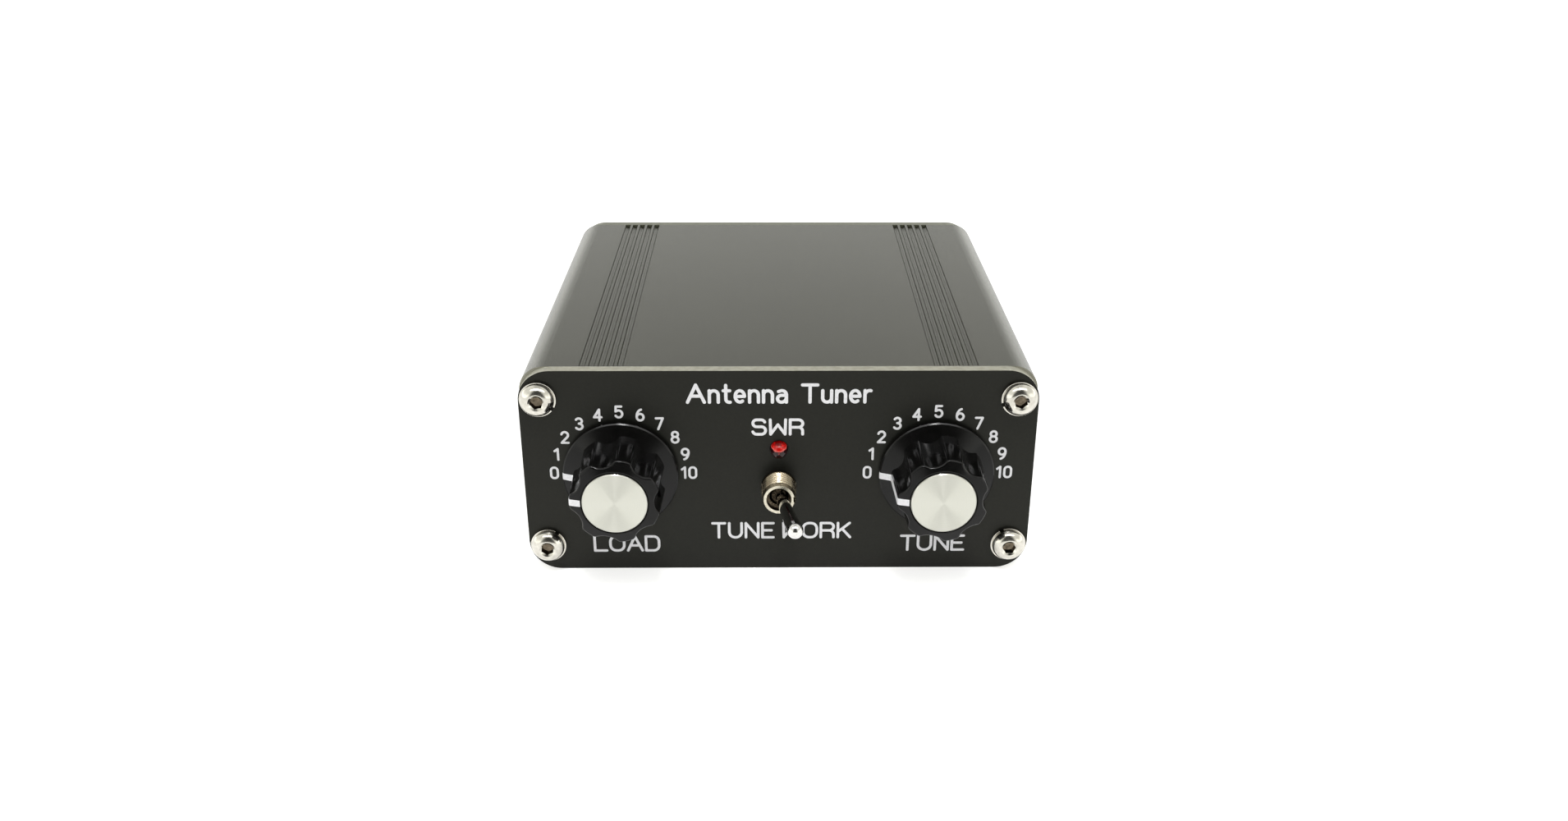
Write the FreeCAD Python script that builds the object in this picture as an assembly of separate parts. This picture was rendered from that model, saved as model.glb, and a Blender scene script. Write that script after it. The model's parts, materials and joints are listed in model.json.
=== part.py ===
import FreeCAD, Part
import os
from math import acos, cos, pi, radians, sin, sqrt

# Compact antenna tuner in a split aluminium extrusion, modelled in millimetres.
# Frame: X to the right as the operator sees the front, Y to the rear, Z up.
# The origin is the centre of the case's flat underside.

# Case
CASE_WIDTH = 88.0
CASE_HEIGHT = 38.0
CASE_DEPTH = 88.0  # over both end panels
PANEL = 2.0
PANEL_CORNER = 5.5
BODY_CORNER = 4.3
SIDE_WALL = 1.8
ROOF = 2.0
GROOVE_GROUP_X = 30.0
GROOVE_PITCH = 1.61
GROOVE_RADIUS = 0.56
GROOVE_DEPTH = 0.46
GROOVES_PER_GROUP = 5
TONGUE_WIDTH = 0.7
TONGUE_HEIGHT = 1.0
SEAM_CHAMFER = 0.3

# Corner screws, M3 with button heads over split lock washers
SCREW_X = 40.6
SCREW_RISE = 14.0  # above and below mid-height
M3_SHANK = 1.47
M3_HOLE = 1.5
PANEL_SCREW_HOLE = 1.6
BOSS_RADIUS = 2.9
HEAD_RADIUS = 2.85
HEAD_HEIGHT = 1.6
HEX_ACROSS_FLATS = 2.05
HEX_MOUTH_RADIUS = 1.4
LOCK_WASHER_OUTER = 3.1
LOCK_WASHER_INNER = 1.6
LOCK_WASHER_THICKNESS = 0.6
WASHER_GAP_ANGLES = (-30, 205, 60, 120)  # top left, top right, bottom left, bottom right

# Knobs and their shafts
SHAFT_X = 27.2
KNOB_GAP = 0.5  # skirt to panel
KNOB_HEIGHT = 11.0
SKIRT_RADIUS = 9.9
SKIRT_RIM = 0.9
BODY_BASE_RADIUS = 8.0
BODY_FACE_RADIUS = 7.6
SKIRT_SLOPE = 0.4  # rise of the skirt's face per millimetre towards the grip
LOBES = 7
LOBE_CORNER = 0.8
VALLEY_RADIUS = 3.0
VALLEY_DEPTH = 1.05
FACE_SLOPE = 0.28  # rise of the face per millimetre towards the cap
FACE_EDGE = 0.4
CAP_RADIUS = 5.42
CAP_THICKNESS = 1.0
CAP_SEAT_RADIUS = 5.6
INSERT_RADIUS = 4.0
INSERT_LENGTH = 7.8
INSERT_START = 0.4
SET_SCREW_HEIGHT = 5.4
SHAFT_RADIUS = 3.0
SHAFT_BORE = 3.03
PANEL_SHAFT_HOLE = 3.7
EXTENSION_FRONT = 7.6  # its end inside the knob, above the skirt's underside
EXTENSION_REAR_Y = -33.0

# Boards
BOARD = 1.6
FRONT_BOARD_Y = -31.6
FRONT_BOARD_HALF_WIDTH = 39.8
FRONT_BOARD_LOW = 8.2
FRONT_BOARD_HIGH = 29.8
MAIN_BOARD_Z = 9.4
RIB_REACH = 2.0
RIB_THICKNESS = 1.0
SLOT_HEIGHT = 1.8
MAIN_BOARD_HALF_WIDTH = 41.9
MAIN_BOARD_FRONT_Y = -17.0
MAIN_BOARD_REAR_Y = 41.6
TONGUE_BOARD_HALF_WIDTH = 15.5

# Variable capacitors
CAPACITOR_SIDE = 20.0
CAPACITOR_BASE = 3.0
CAPACITOR_DEPTH = 12.0
CAPACITOR_WALL = 0.8
ROTOR_SHAFT = 2.0
ROTOR_SHAFT_FRONT_Y = -36.4
ROTOR_PLATE_RADIUS = 7.4
ROTOR_HUB = 2.6
PLATE_THICKNESS = 0.3
PLATE_PITCH = 1.4
ROTOR_PLATES = 4
CAPACITOR_SCREW_X = 7.0
M25_SHANK = 1.22
M25_HOLE = 1.25

# Toggle switch
SWITCH_Z = 16.2
BUSHING_RADIUS = 2.95
BUSHING_LENGTH = 9.0
BUSHING_PROUD = 4.8
THREAD_PITCH = 0.75
THREAD_DEPTH = 0.3
BUSHING_MOUTH = 2.1
LEVER_PIVOT_BEHIND_MOUTH = 2.3
LEVER_LEAN = 11.1  # degrees towards +X at rest
LEVER_BALL = 1.6
LEVER_LENGTH = 13.2  # pivot to the centre of the tip
LEVER_TIP = 1.38
LEVER_PIN_RADIUS = 0.45
LEVER_PIN_REACH = 2.0
PLUNGER_REACH = 11.0
CARRIAGE_TILT = 8.0
TRUNNION_RADIUS = 0.45
TRUNNION_REACH = 5.8
SWITCH_HALF_WIDTH = 6.5
SWITCH_HALF_HEIGHT = 6.3
POLE_RISE = 2.4
TERMINAL_PITCH = 4.7

# Lamp
LAMP_Z = 23.5
LAMP_RADIUS = 1.5
LAMP_PROUD = 1.9

# Coil and bridge
COIL_Y = 5.0
COIL_OUTER = 16.5
COIL_INNER = 9.9
COIL_HEIGHT = 11.0
COIL_TURNS = 26
COIL_WIRE = 0.4
COIL_SWEEP = 310.0
BRIDGE_X = -27.0
BRIDGE_Y = 12.0
BRIDGE_OUTER = 4.75
BRIDGE_INNER = 2.4
BRIDGE_HEIGHT = 3.2
BRIDGE_TURNS = 12
BRIDGE_WIRE = 0.2
RESISTOR_RADIUS = 2.0

# Rear sockets
SOCKET_X = 22.0
SOCKET_NECK = 6.3
SOCKET_NECK_LENGTH = 7.0
SOCKET_BARREL = 4.8
SOCKET_LAND = 3.9  # full-size land at the mouth, in front of the lugs
SOCKET_RELIEF = 0.2
SOCKET_BORE = 4.05
SOCKET_LENGTH = 17.5
SOCKET_HOUSING_HALF = 7.25
SOCKET_HOUSING_DEPTH = 13.5
SOCKET_NUT_ACROSS_FLATS = 14.3

# Worked out from the above
MIDDLE = CASE_HEIGHT / 2
FRONT_Y = -CASE_DEPTH / 2
REAR_Y = CASE_DEPTH / 2
BODY_FRONT_Y = FRONT_Y + PANEL
BODY_REAR_Y = REAR_Y - PANEL
KNOB_Y = FRONT_Y - KNOB_GAP
BOARD_TOP_Z = MAIN_BOARD_Z + BOARD
FRONT_BOARD_REAR_Y = FRONT_BOARD_Y + BOARD
BUSHING_FRONT_Y = FRONT_Y - BUSHING_PROUD
SWITCH_FRAME_Y = BUSHING_FRONT_Y + BUSHING_LENGTH
PIVOT_Y = BUSHING_FRONT_Y + LEVER_PIVOT_BEHIND_MOUTH
CARRIAGE_Y = -34.4
HEADER_Z = BOARD_TOP_Z + 1.0
HEADER_REAR_Y = FRONT_BOARD_REAR_Y + 3.8
KNOBS = (("load", -SHAFT_X), ("tune", SHAFT_X))
OVERSHOOT = 1.0  # how far cutting tools run past a face
DIAGONAL = sqrt(0.5)


def vec(x, y, z):
    return FreeCAD.Vector(x, y, z)


def block(x0, x1, y0, y1, z0, z1):
    return Part.makeBox(x1 - x0, y1 - y0, z1 - z0, vec(x0, y0, z0))


def rod_y(x, z, radius, y0, y1):
    return Part.makeCylinder(radius, y1 - y0, vec(x, y0, z), vec(0, 1, 0))


def rod_z(x, y, radius, z0, z1):
    return Part.makeCylinder(radius, z1 - z0, vec(x, y, z0), vec(0, 0, 1))


def ring_y(x, z, outer, inner, y0, y1):
    return rod_y(x, z, outer, y0, y1).cut(rod_y(x, z, inner, y0, y1))


def turned(edges, x, z):
    """Revolve a closed outline of (radius, y) points about the Y line through x, z.

    An item of three points is an arc through them; consecutive items are joined by lines.
    """
    def place(point):
        return vec(x + point[0], point[1], z)

    items = [item if isinstance(item[0], tuple) else (item,) for item in edges]
    shapes = []
    for item, following in zip(items, items[1:] + items[:1]):
        if len(item) == 3:
            shapes.append(Part.Arc(*(place(point) for point in item)).toShape())
        if item[-1] != following[0]:
            shapes.append(Part.makeLine(place(item[-1]), place(following[0])))
    face = Part.Face(Part.Wire(shapes))
    solid = face.revolve(vec(x, 0, z), vec(0, 1, 0), 360)
    return solid if solid.Volume > 0 else solid.reversed()


def prism_y(points, y0, y1):
    corners = [vec(x, y0, z) for x, z in points]
    face = Part.Face(Part.makePolygon(corners + corners[:1]))
    return face.extrude(vec(0, y1 - y0, 0))


def hexagon_y(x, z, across_flats, y0, y1, turn=0):
    corner = across_flats / sqrt(3)
    angles = [radians(60 * k + turn) for k in range(6)]
    return prism_y([(x + corner * cos(a), z + corner * sin(a)) for a in angles], y0, y1)


def rounded_slab(half_width, z0, z1, radius, y0, y1):
    slab = block(-half_width, half_width, y0, y1, z0, z1)
    along_y = [e for e in slab.Edges if abs(e.tangentAt(e.FirstParameter).y) > 0.9]
    return slab.makeFillet(radius, along_y)


def fused(shapes):
    return shapes[0].multiFuse(shapes[1:]).removeSplitter()


def group(shapes):
    return Part.makeCompound(shapes)


def half_turn_about_z(shape):
    turned_shape = shape.copy()
    turned_shape.rotate(vec(0, 0, 0), vec(0, 0, 1), 180)
    return turned_shape


def leaned(shape, angle):
    """Tilt a switch lever piece about its pivot."""
    tilted = shape.copy()
    tilted.rotate(vec(0, PIVOT_Y, SWITCH_Z), vec(0, 0, 1), angle)
    return tilted


def corner_places():
    rises = (SCREW_RISE, SCREW_RISE, -SCREW_RISE, -SCREW_RISE)
    sides = (-SCREW_X, SCREW_X, -SCREW_X, SCREW_X)
    return [(x, MIDDLE + rise) for x, rise in zip(sides, rises)]


# ---------------------------------------------------------------- case

def outer_form(corner, y0, y1):
    return rounded_slab(CASE_WIDTH / 2, 0, CASE_HEIGHT, corner, y0, y1)


def case_half():
    """The lower extrusion; the upper one is the same profile turned over."""
    y0, y1 = BODY_FRONT_Y, BODY_REAR_Y
    inside_x = CASE_WIDTH / 2 - SIDE_WALL
    half_width = CASE_WIDTH / 2
    outer = outer_form(BODY_CORNER, y0, y1)
    inner = rounded_slab(inside_x, ROOF, CASE_HEIGHT - ROOF, BODY_CORNER - ROOF, y0, y1)
    below = block(-half_width, half_width, y0, y1, 0, MIDDLE)
    pieces = [outer.cut(inner).common(below)]
    boss_z = MIDDLE - SCREW_RISE
    rib_lows = (MAIN_BOARD_Z - RIB_THICKNESS, MAIN_BOARD_Z + SLOT_HEIGHT)
    for side in (-1, 1):
        pieces.append(rod_y(side * SCREW_X, boss_z, BOSS_RADIUS, y0, y1).common(outer))
        wall, reach = side * (inside_x + SIDE_WALL / 2), side * (inside_x - RIB_REACH)
        for low in rib_lows:
            pieces.append(block(min(wall, reach), max(wall, reach), y0, y1, low, low + RIB_THICKNESS))
    wall_middle = CASE_WIDTH / 2 - SIDE_WALL / 2
    half_tongue = TONGUE_WIDTH / 2
    pieces.append(block(-wall_middle - half_tongue, -wall_middle + half_tongue, y0, y1,
                        MIDDLE - OVERSHOOT, MIDDLE + TONGUE_HEIGHT))
    half = fused(pieces)
    cuts = [block(wall_middle - half_tongue - 0.05, wall_middle + half_tongue + 0.05, y0, y1,
                  MIDDLE - TONGUE_HEIGHT - 0.1, MIDDLE + OVERSHOOT)]
    for side in (-1, 1):
        axis_x = side * SCREW_X
        cuts.append(rod_y(axis_x, boss_z, M3_HOLE, y0, y1))
        slit = sorted((axis_x, side * (SCREW_X - BOSS_RADIUS - OVERSHOOT)))
        cuts.append(block(slit[0], slit[1], y0, y1, boss_z - 0.5, boss_z + 0.5))
        edge = side * half_width
        cuts.append(prism_y([(edge - side * SEAM_CHAMFER, MIDDLE), (edge + side, MIDDLE),
                             (edge + side, MIDDLE - SEAM_CHAMFER - 1)], y0, y1))
        for k in range(GROOVES_PER_GROUP):
            centre = side * GROOVE_GROUP_X + (k - (GROOVES_PER_GROUP - 1) / 2) * GROOVE_PITCH
            cuts.append(rod_y(centre, GROOVE_DEPTH - GROOVE_RADIUS, GROOVE_RADIUS, y0, y1))
    return half.cut(group(cuts)).removeSplitter()


def upper_half(lower):
    upper = lower.copy()
    upper.rotate(vec(0, 0, MIDDLE), vec(0, 1, 0), 180)
    return upper


def front_panel():
    plate = outer_form(PANEL_CORNER, FRONT_Y, BODY_FRONT_Y)
    y0, y1 = FRONT_Y - OVERSHOOT, BODY_FRONT_Y + OVERSHOOT
    holes = [rod_y(x, z, PANEL_SCREW_HOLE, y0, y1) for x, z in corner_places()]
    holes += [rod_y(x, MIDDLE, PANEL_SHAFT_HOLE, y0, y1) for _, x in KNOBS]
    holes.append(rod_y(0, SWITCH_Z, BUSHING_RADIUS + 0.15, y0, y1))
    holes.append(rod_y(0, LAMP_Z, LAMP_RADIUS + 0.1, y0, y1))
    return plate.cut(group(holes))


def rear_panel():
    plate = outer_form(PANEL_CORNER, BODY_REAR_Y, REAR_Y)
    y0, y1 = BODY_REAR_Y - OVERSHOOT, REAR_Y + OVERSHOOT
    holes = [rod_y(x, z, PANEL_SCREW_HOLE, y0, y1) for x, z in corner_places()]
    holes += [rod_y(side * SOCKET_X, MIDDLE, SOCKET_NECK + 0.15, y0, y1) for side in (-1, 1)]
    return plate.cut(group(holes))


def button_screw(x, z, turn):
    """M3 x 8 button-head screw with a hexagon socket, its head towards -Y."""
    seat = FRONT_Y - LOCK_WASHER_THICKNESS
    front = seat - HEAD_HEIGHT
    outline = [(0, seat), (HEAD_RADIUS, seat),
               ((HEAD_RADIUS, seat - 0.35), (2.4, seat - 1.15), (1.55, front)), (0, front)]
    head = turned(outline, x, z)
    shank = rod_y(x, z, M3_SHANK, seat, seat + 8)
    socket = hexagon_y(x, z, HEX_ACROSS_FLATS, front - OVERSHOOT, front + 0.9, turn)
    mouth = turned([(0, front + 0.3), (1.0, front + 0.3), (HEX_MOUTH_RADIUS, front), (0, front)], x, z)
    return fused([head, shank]).cut(socket).cut(mouth)


def lock_washer(x, z, gap_angle):
    y0 = FRONT_Y - LOCK_WASHER_THICKNESS
    ring = ring_y(x, z, LOCK_WASHER_OUTER, LOCK_WASHER_INNER, y0, FRONT_Y)
    slot = prism_y([(1, -0.35), (4, -0.75), (4, 0.05), (1, 0.35)], y0 - OVERSHOOT, FRONT_Y + OVERSHOOT)
    slot.rotate(vec(0, 0, 0), vec(0, 1, 0), -gap_angle)
    slot.translate(vec(x, 0, z))
    return ring.cut(slot)


# ---------------------------------------------------------------- knobs and shafts

def knob_y(height):
    """A height above the skirt's underside as a Y position."""
    return KNOB_Y - height


def set_screw_bore(x, inner, outer, radius):
    start = vec(x + inner, knob_y(SET_SCREW_HEIGHT), MIDDLE)
    return Part.makeCylinder(radius, outer - inner, start, vec(1, 0, 0))


def lobed_outline(x, reach, height):
    """Closed outline of lobes and valleys in tangent arcs, with one lobe pointing along -X."""
    def place(radius, angle):
        return vec(x + radius * cos(angle), knob_y(height), MIDDLE + radius * sin(angle))

    corner_reach = reach - LOBE_CORNER
    valley_reach = reach - VALLEY_DEPTH + VALLEY_RADIUS
    touching = LOBE_CORNER + VALLEY_RADIUS
    between = acos((corner_reach ** 2 + valley_reach ** 2 - touching ** 2)
                   / (2 * corner_reach * valley_reach))
    half = pi / LOBES
    flat = half - between
    arcs = []
    for k in range(LOBES):
        middle = pi + 2 * half * k
        arcs.append([place(reach, middle + turn) for turn in (-flat, 0, flat)])
        corners = []
        for side in (-1, 1):
            centre = place(corner_reach, middle + half + side * between)
            towards_valley = (place(valley_reach, middle + half) - centre).normalize()
            outwards = (place(reach, middle + half + side * between) - centre).normalize()
            halfway = (towards_valley + outwards).normalize()
            corners.append([centre + direction * LOBE_CORNER
                            for direction in (outwards, halfway, towards_valley)])
        entering, leaving = corners
        arcs.append(entering)
        arcs.append([entering[-1], place(reach - VALLEY_DEPTH, middle + half), leaving[-1]])
        arcs.append(leaving[::-1])
    return Part.Wire([Part.Arc(*points).toShape() for points in arcs])


def knob_grip(x):
    """The lobed grip: drafted, with a face that rises a little to the cap and a rounded edge."""
    top = KNOB_HEIGHT - 0.2
    low = SKIRT_RIM
    grip = Part.makeLoft([lobed_outline(x, BODY_BASE_RADIUS, low),
                          lobed_outline(x, BODY_FACE_RADIUS, KNOB_HEIGHT)], True, True)
    rim = CAP_SEAT_RADIUS + 0.25
    spread = BODY_BASE_RADIUS + OVERSHOOT
    roof = turned([(0, knob_y(low)), (spread, knob_y(low)),
                   (spread, knob_y(top - (spread - rim) * FACE_SLOPE)), (rim, knob_y(top)),
                   (0, knob_y(top))], x, MIDDLE)
    grip = grip.common(roof)
    face = min(grip.Faces, key=lambda f: f.CenterOfMass.y if len(f.Edges) > 2 * LOBES else 0)
    edges = [edge for edge in face.Edges if not edge.Closed]
    return grip.makeFillet(FACE_EDGE, edges)


def knob_body(x):
    foot_radius = BODY_BASE_RADIUS - VALLEY_DEPTH - 0.5
    foot = knob_y(SKIRT_RIM + (SKIRT_RADIUS - 0.2 - foot_radius) * SKIRT_SLOPE)
    skirt = turned([(0, knob_y(0)), (SKIRT_RADIUS - 0.2, knob_y(0)), (SKIRT_RADIUS, knob_y(0.2)),
                    (SKIRT_RADIUS, knob_y(SKIRT_RIM - 0.2)), (SKIRT_RADIUS - 0.2, knob_y(SKIRT_RIM)),
                    (foot_radius, foot), (0, foot)], x, MIDDLE)
    top, seat = KNOB_HEIGHT - 0.2, KNOB_HEIGHT - CAP_THICKNESS
    cap_seat = turned([(0, knob_y(seat)), (CAP_SEAT_RADIUS, knob_y(seat)),
                       (CAP_SEAT_RADIUS, knob_y(top - 0.1)), (CAP_SEAT_RADIUS + 0.2, knob_y(top + 0.1)),
                       (0, knob_y(top + 0.1))], x, MIDDLE)
    recess = rod_y(x, MIDDLE, INSERT_RADIUS, knob_y(INSERT_START + INSERT_LENGTH), knob_y(-OVERSHOOT))
    body = skirt.fuse(knob_grip(x))
    return body.cut(cap_seat).cut(recess).cut(set_screw_bore(x, 0, SKIRT_RADIUS, M3_HOLE))


def knob_cap(x):
    seat, front = KNOB_HEIGHT - CAP_THICKNESS, KNOB_HEIGHT
    outline = [(0, knob_y(seat)), (CAP_RADIUS, knob_y(seat)), (CAP_RADIUS, knob_y(front - 0.15)),
               (CAP_RADIUS - 0.15, knob_y(front)), (0, knob_y(front))]
    return turned(outline, x, MIDDLE)


def knob_insert(x):
    start, end = knob_y(INSERT_START), knob_y(INSERT_START + INSERT_LENGTH)
    sleeve = rod_y(x, MIDDLE, INSERT_RADIUS, end, start)
    bore = rod_y(x, MIDDLE, SHAFT_BORE, end + 0.5, start)
    return sleeve.cut(bore).cut(set_screw_bore(x, 0, INSERT_RADIUS + OVERSHOOT, M3_HOLE))


def knob_set_screw(x):
    screw = set_screw_bore(x, SHAFT_RADIUS + 0.02, SHAFT_RADIUS + 3.3, M3_SHANK)
    socket = Part.makeCylinder(0.8, 1.3, vec(x + SHAFT_RADIUS + 2.0, knob_y(SET_SCREW_HEIGHT), MIDDLE),
                               vec(1, 0, 0))
    return screw.cut(socket)


def shaft_extension(x):
    front = knob_y(EXTENSION_FRONT)
    head_seat = front + 10
    sleeve = rod_y(x, MIDDLE, SHAFT_RADIUS, front, EXTENSION_REAR_Y)
    counterbore = rod_y(x, MIDDLE, 2.3, front, head_seat)
    through = rod_y(x, MIDDLE, 1.35, head_seat, EXTENSION_REAR_Y)
    socket = rod_y(x, MIDDLE, ROTOR_SHAFT + 0.03, ROTOR_SHAFT_FRONT_Y - 0.1, EXTENSION_REAR_Y)
    return sleeve.cut(fused([counterbore, through, socket]))


def shaft_screw(x):
    seat = knob_y(EXTENSION_FRONT) + 10
    head = rod_y(x, MIDDLE, 2.2, seat - 1.6, seat)
    slot = block(x - 3, x + 3, seat - 2, seat - 1, MIDDLE - 0.3, MIDDLE + 0.3)
    shank = rod_y(x, MIDDLE, M25_SHANK, seat, ROTOR_SHAFT_FRONT_Y + 3.6)
    return fused([head, shank]).cut(slot)


# ---------------------------------------------------------------- variable capacitors

def capacitor_base(x):
    half = CAPACITOR_SIDE / 2
    y0, y1 = FRONT_BOARD_REAR_Y, FRONT_BOARD_REAR_Y + CAPACITOR_BASE
    base = block(x - half, x + half, y0, y1, MIDDLE - half, MIDDLE + half)
    holes = [rod_y(x, MIDDLE, ROTOR_SHAFT + 0.05, y0, y1)]
    holes += [rod_y(x + side * CAPACITOR_SCREW_X, MIDDLE, M25_HOLE, y0, y0 + 2.4) for side in (-1, 1)]
    return base.cut(group(holes))


def capacitor_cover(x):
    half = CAPACITOR_SIDE / 2
    y0, y1 = FRONT_BOARD_REAR_Y + CAPACITOR_BASE, FRONT_BOARD_REAR_Y + CAPACITOR_DEPTH
    shell = block(x - half, x + half, y0, y1, MIDDLE - half, MIDDLE + half)
    inner = half - CAPACITOR_WALL
    cavity = block(x - inner, x + inner, y0, y1 - CAPACITOR_WALL, MIDDLE - inner, MIDDLE + inner)
    return shell.cut(cavity)


def plate_y(index):
    """Front of stator plate number index; rotor plates lie half a pitch behind."""
    return FRONT_BOARD_REAR_Y + CAPACITOR_BASE + 0.8 + index * PLATE_PITCH


def capacitor_stator(x):
    reach, low = 9.0, ROTOR_HUB + 0.4
    plates = []
    for k in range(ROTOR_PLATES + 1):
        y0 = plate_y(k)
        plates.append(block(x - reach, x + reach, y0, y0 + PLATE_THICKNESS,
                            MIDDLE + low, MIDDLE + reach))
    start, end = FRONT_BOARD_REAR_Y + CAPACITOR_BASE, plate_y(ROTOR_PLATES) + 1
    posts = [rod_y(x + side * 8.2, MIDDLE + 8.2, 0.6, start, end) for side in (-1, 1)]
    return fused(plates + posts)


def capacitor_rotor(x):
    rear = plate_y(ROTOR_PLATES) + 1.2
    shaft = rod_y(x, MIDDLE, ROTOR_SHAFT, ROTOR_SHAFT_FRONT_Y, rear)
    hub = rod_y(x, MIDDLE, ROTOR_HUB, plate_y(0), plate_y(ROTOR_PLATES))
    pieces = [shaft, hub]
    for k in range(ROTOR_PLATES):
        y0 = plate_y(k) + PLATE_PITCH / 2
        disc = rod_y(x, MIDDLE, ROTOR_PLATE_RADIUS, y0, y0 + PLATE_THICKNESS)
        upper = block(x - 10, x + 10, y0, y0 + PLATE_THICKNESS, MIDDLE, MIDDLE + 10)
        pieces.append(disc.common(upper))
    thread = rod_y(x, MIDDLE, M25_HOLE, ROTOR_SHAFT_FRONT_Y, ROTOR_SHAFT_FRONT_Y + 4)
    return fused(pieces).cut(thread)


def capacitor_terminals():
    low = MIDDLE - CAPACITOR_SIDE / 2 + 1.5
    legs = []
    for _, x in KNOBS:
        for offset in (-5, 0, 5):
            legs.append(block(x + offset - 0.6, x + offset + 0.6, FRONT_BOARD_Y - 1, FRONT_BOARD_REAR_Y,
                              low - 0.2, low + 0.2))
    return group(legs)


def capacitor_screws():
    screws = []
    for _, x in KNOBS:
        for side in (-1, 1):
            place = x + side * CAPACITOR_SCREW_X
            head = rod_y(place, MIDDLE, 2.2, FRONT_BOARD_Y - 1.4, FRONT_BOARD_Y)
            shank = rod_y(place, MIDDLE, M25_SHANK, FRONT_BOARD_Y, FRONT_BOARD_REAR_Y + 2.3)
            slot = block(place - 3, place + 3, FRONT_BOARD_Y - 2, FRONT_BOARD_Y - 0.8,
                         MIDDLE - 0.3, MIDDLE + 0.3)
            screws.append(fused([head, shank]).cut(slot))
    return group(screws)


# ---------------------------------------------------------------- toggle switch

def switch_bushing():
    front, rear = BUSHING_FRONT_Y, SWITCH_FRAME_Y
    root = BUSHING_RADIUS - THREAD_DEPTH
    outline = [(BUSHING_MOUTH, front), (root, front)]
    threads = int((BUSHING_LENGTH - 0.9) / THREAD_PITCH)
    for k in range(threads):
        start = front + 0.3 + k * THREAD_PITCH
        outline += [(BUSHING_RADIUS, start + 0.3), (BUSHING_RADIUS, start + 0.4), (root, start + 0.7)]
    outline += [(root, rear), (2.4, rear), (LEVER_BALL + 0.08, PIVOT_Y + 0.9),
                (LEVER_BALL + 0.08, PIVOT_Y - 0.9), (BUSHING_MOUTH, PIVOT_Y - 1.2)]
    bushing = turned(outline, 0, SWITCH_Z)
    keyway = block(2.45, 3.5, front - OVERSHOOT, rear + OVERSHOOT, SWITCH_Z - 0.5, SWITCH_Z + 0.5)
    half, reach = LEVER_PIN_RADIUS + 0.05, LEVER_PIN_REACH + 0.1
    pin_slot = block(-half, half, PIVOT_Y - half, rear, SWITCH_Z - reach, SWITCH_Z + reach)
    return bushing.cut(keyway).cut(pin_slot)


def switch_frame():
    width, height, sheet = SWITCH_HALF_WIDTH, SWITCH_HALF_HEIGHT, 0.5
    y0 = SWITCH_FRAME_Y
    plate = block(-width, width, y0, y0 + sheet, SWITCH_Z - height - sheet, SWITCH_Z + height + sheet)
    cheeks = []
    for low in (SWITCH_Z - height - sheet, SWITCH_Z + height):
        cheeks.append(block(-width + 1.5, width - 1.5, y0, y0 + 6, low, low + sheet))
    opening = rod_y(0, SWITCH_Z, 2.4, y0 - OVERSHOOT, y0 + OVERSHOOT)
    return fused([plate] + cheeks).cut(opening)


def terminal_places():
    return [(column * TERMINAL_PITCH, SWITCH_Z + row * POLE_RISE)
            for row in (-1, 1) for column in (-1, 0, 1)]


def switch_terminals():
    blades = []
    for x, z in terminal_places():
        top = CARRIAGE_Y + (0.1 if x == 0 else 0.7)
        blades.append(block(x - 0.35, x + 0.35, top, FRONT_BOARD_REAR_Y + 0.6, z - 0.6, z + 0.6))
    return group(blades)


def switch_housing(terminals):
    width, height = SWITCH_HALF_WIDTH, SWITCH_HALF_HEIGHT
    y0, y1 = SWITCH_FRAME_Y + 0.5, FRONT_BOARD_Y
    body = block(-width, width, y0, y1, SWITCH_Z - height, SWITCH_Z + height)
    cavity = block(-width + 1.2, width - 1.2, y0, y1 - 1.6,
                   SWITCH_Z - height + 1.2, SWITCH_Z + height - 1.2)
    bearings = rod_z(0, CARRIAGE_Y, TRUNNION_RADIUS + 0.05, SWITCH_Z - TRUNNION_REACH - 0.1,
                     SWITCH_Z + TRUNNION_REACH + 0.1)
    return body.cut(group([cavity, bearings, terminals]))


def switch_nut():
    rear = SWITCH_FRAME_Y - 0.4
    nut = hexagon_y(0, SWITCH_Z, 8.0, BODY_FRONT_Y, rear)
    return nut.cut(rod_y(0, SWITCH_Z, BUSHING_RADIUS + 0.03, BODY_FRONT_Y, rear))


def switch_lever():
    def along(distance):
        return PIVOT_Y - distance

    tip = LEVER_LENGTH
    outline = [(0, along(-8)), (0.8, along(-8)), (0.8, along(-1.2)),
               ((1.1, along(-1.16)), (LEVER_BALL, along(0)), (1.1, along(1.16))), (0.95, along(1.4)),
               (1.05, along(4)), (1.25, along(tip - 3.2)), (LEVER_TIP, along(tip - 0.9)),
               ((LEVER_TIP, along(tip)), (LEVER_TIP * DIAGONAL, along(tip + LEVER_TIP * DIAGONAL)),
                (0, along(tip + LEVER_TIP)))]
    pin = rod_z(0, PIVOT_Y, LEVER_PIN_RADIUS, SWITCH_Z - LEVER_PIN_REACH, SWITCH_Z + LEVER_PIN_REACH)
    return leaned(fused([turned(outline, 0, SWITCH_Z), pin]), LEVER_LEAN)


def switch_plunger():
    start, end = PIVOT_Y + 8.03, PIVOT_Y + PLUNGER_REACH
    outline = [(0, start), (1.1, start), (1.1, end - 0.8), (0.6, end), (0, end)]
    return leaned(turned(outline, 0, SWITCH_Z), LEVER_LEAN)


def tilted_on_carriage(shape):
    tilted = shape.copy()
    tilted.rotate(vec(0, CARRIAGE_Y, SWITCH_Z), vec(0, 0, 1), -CARRIAGE_TILT)
    return tilted


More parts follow.
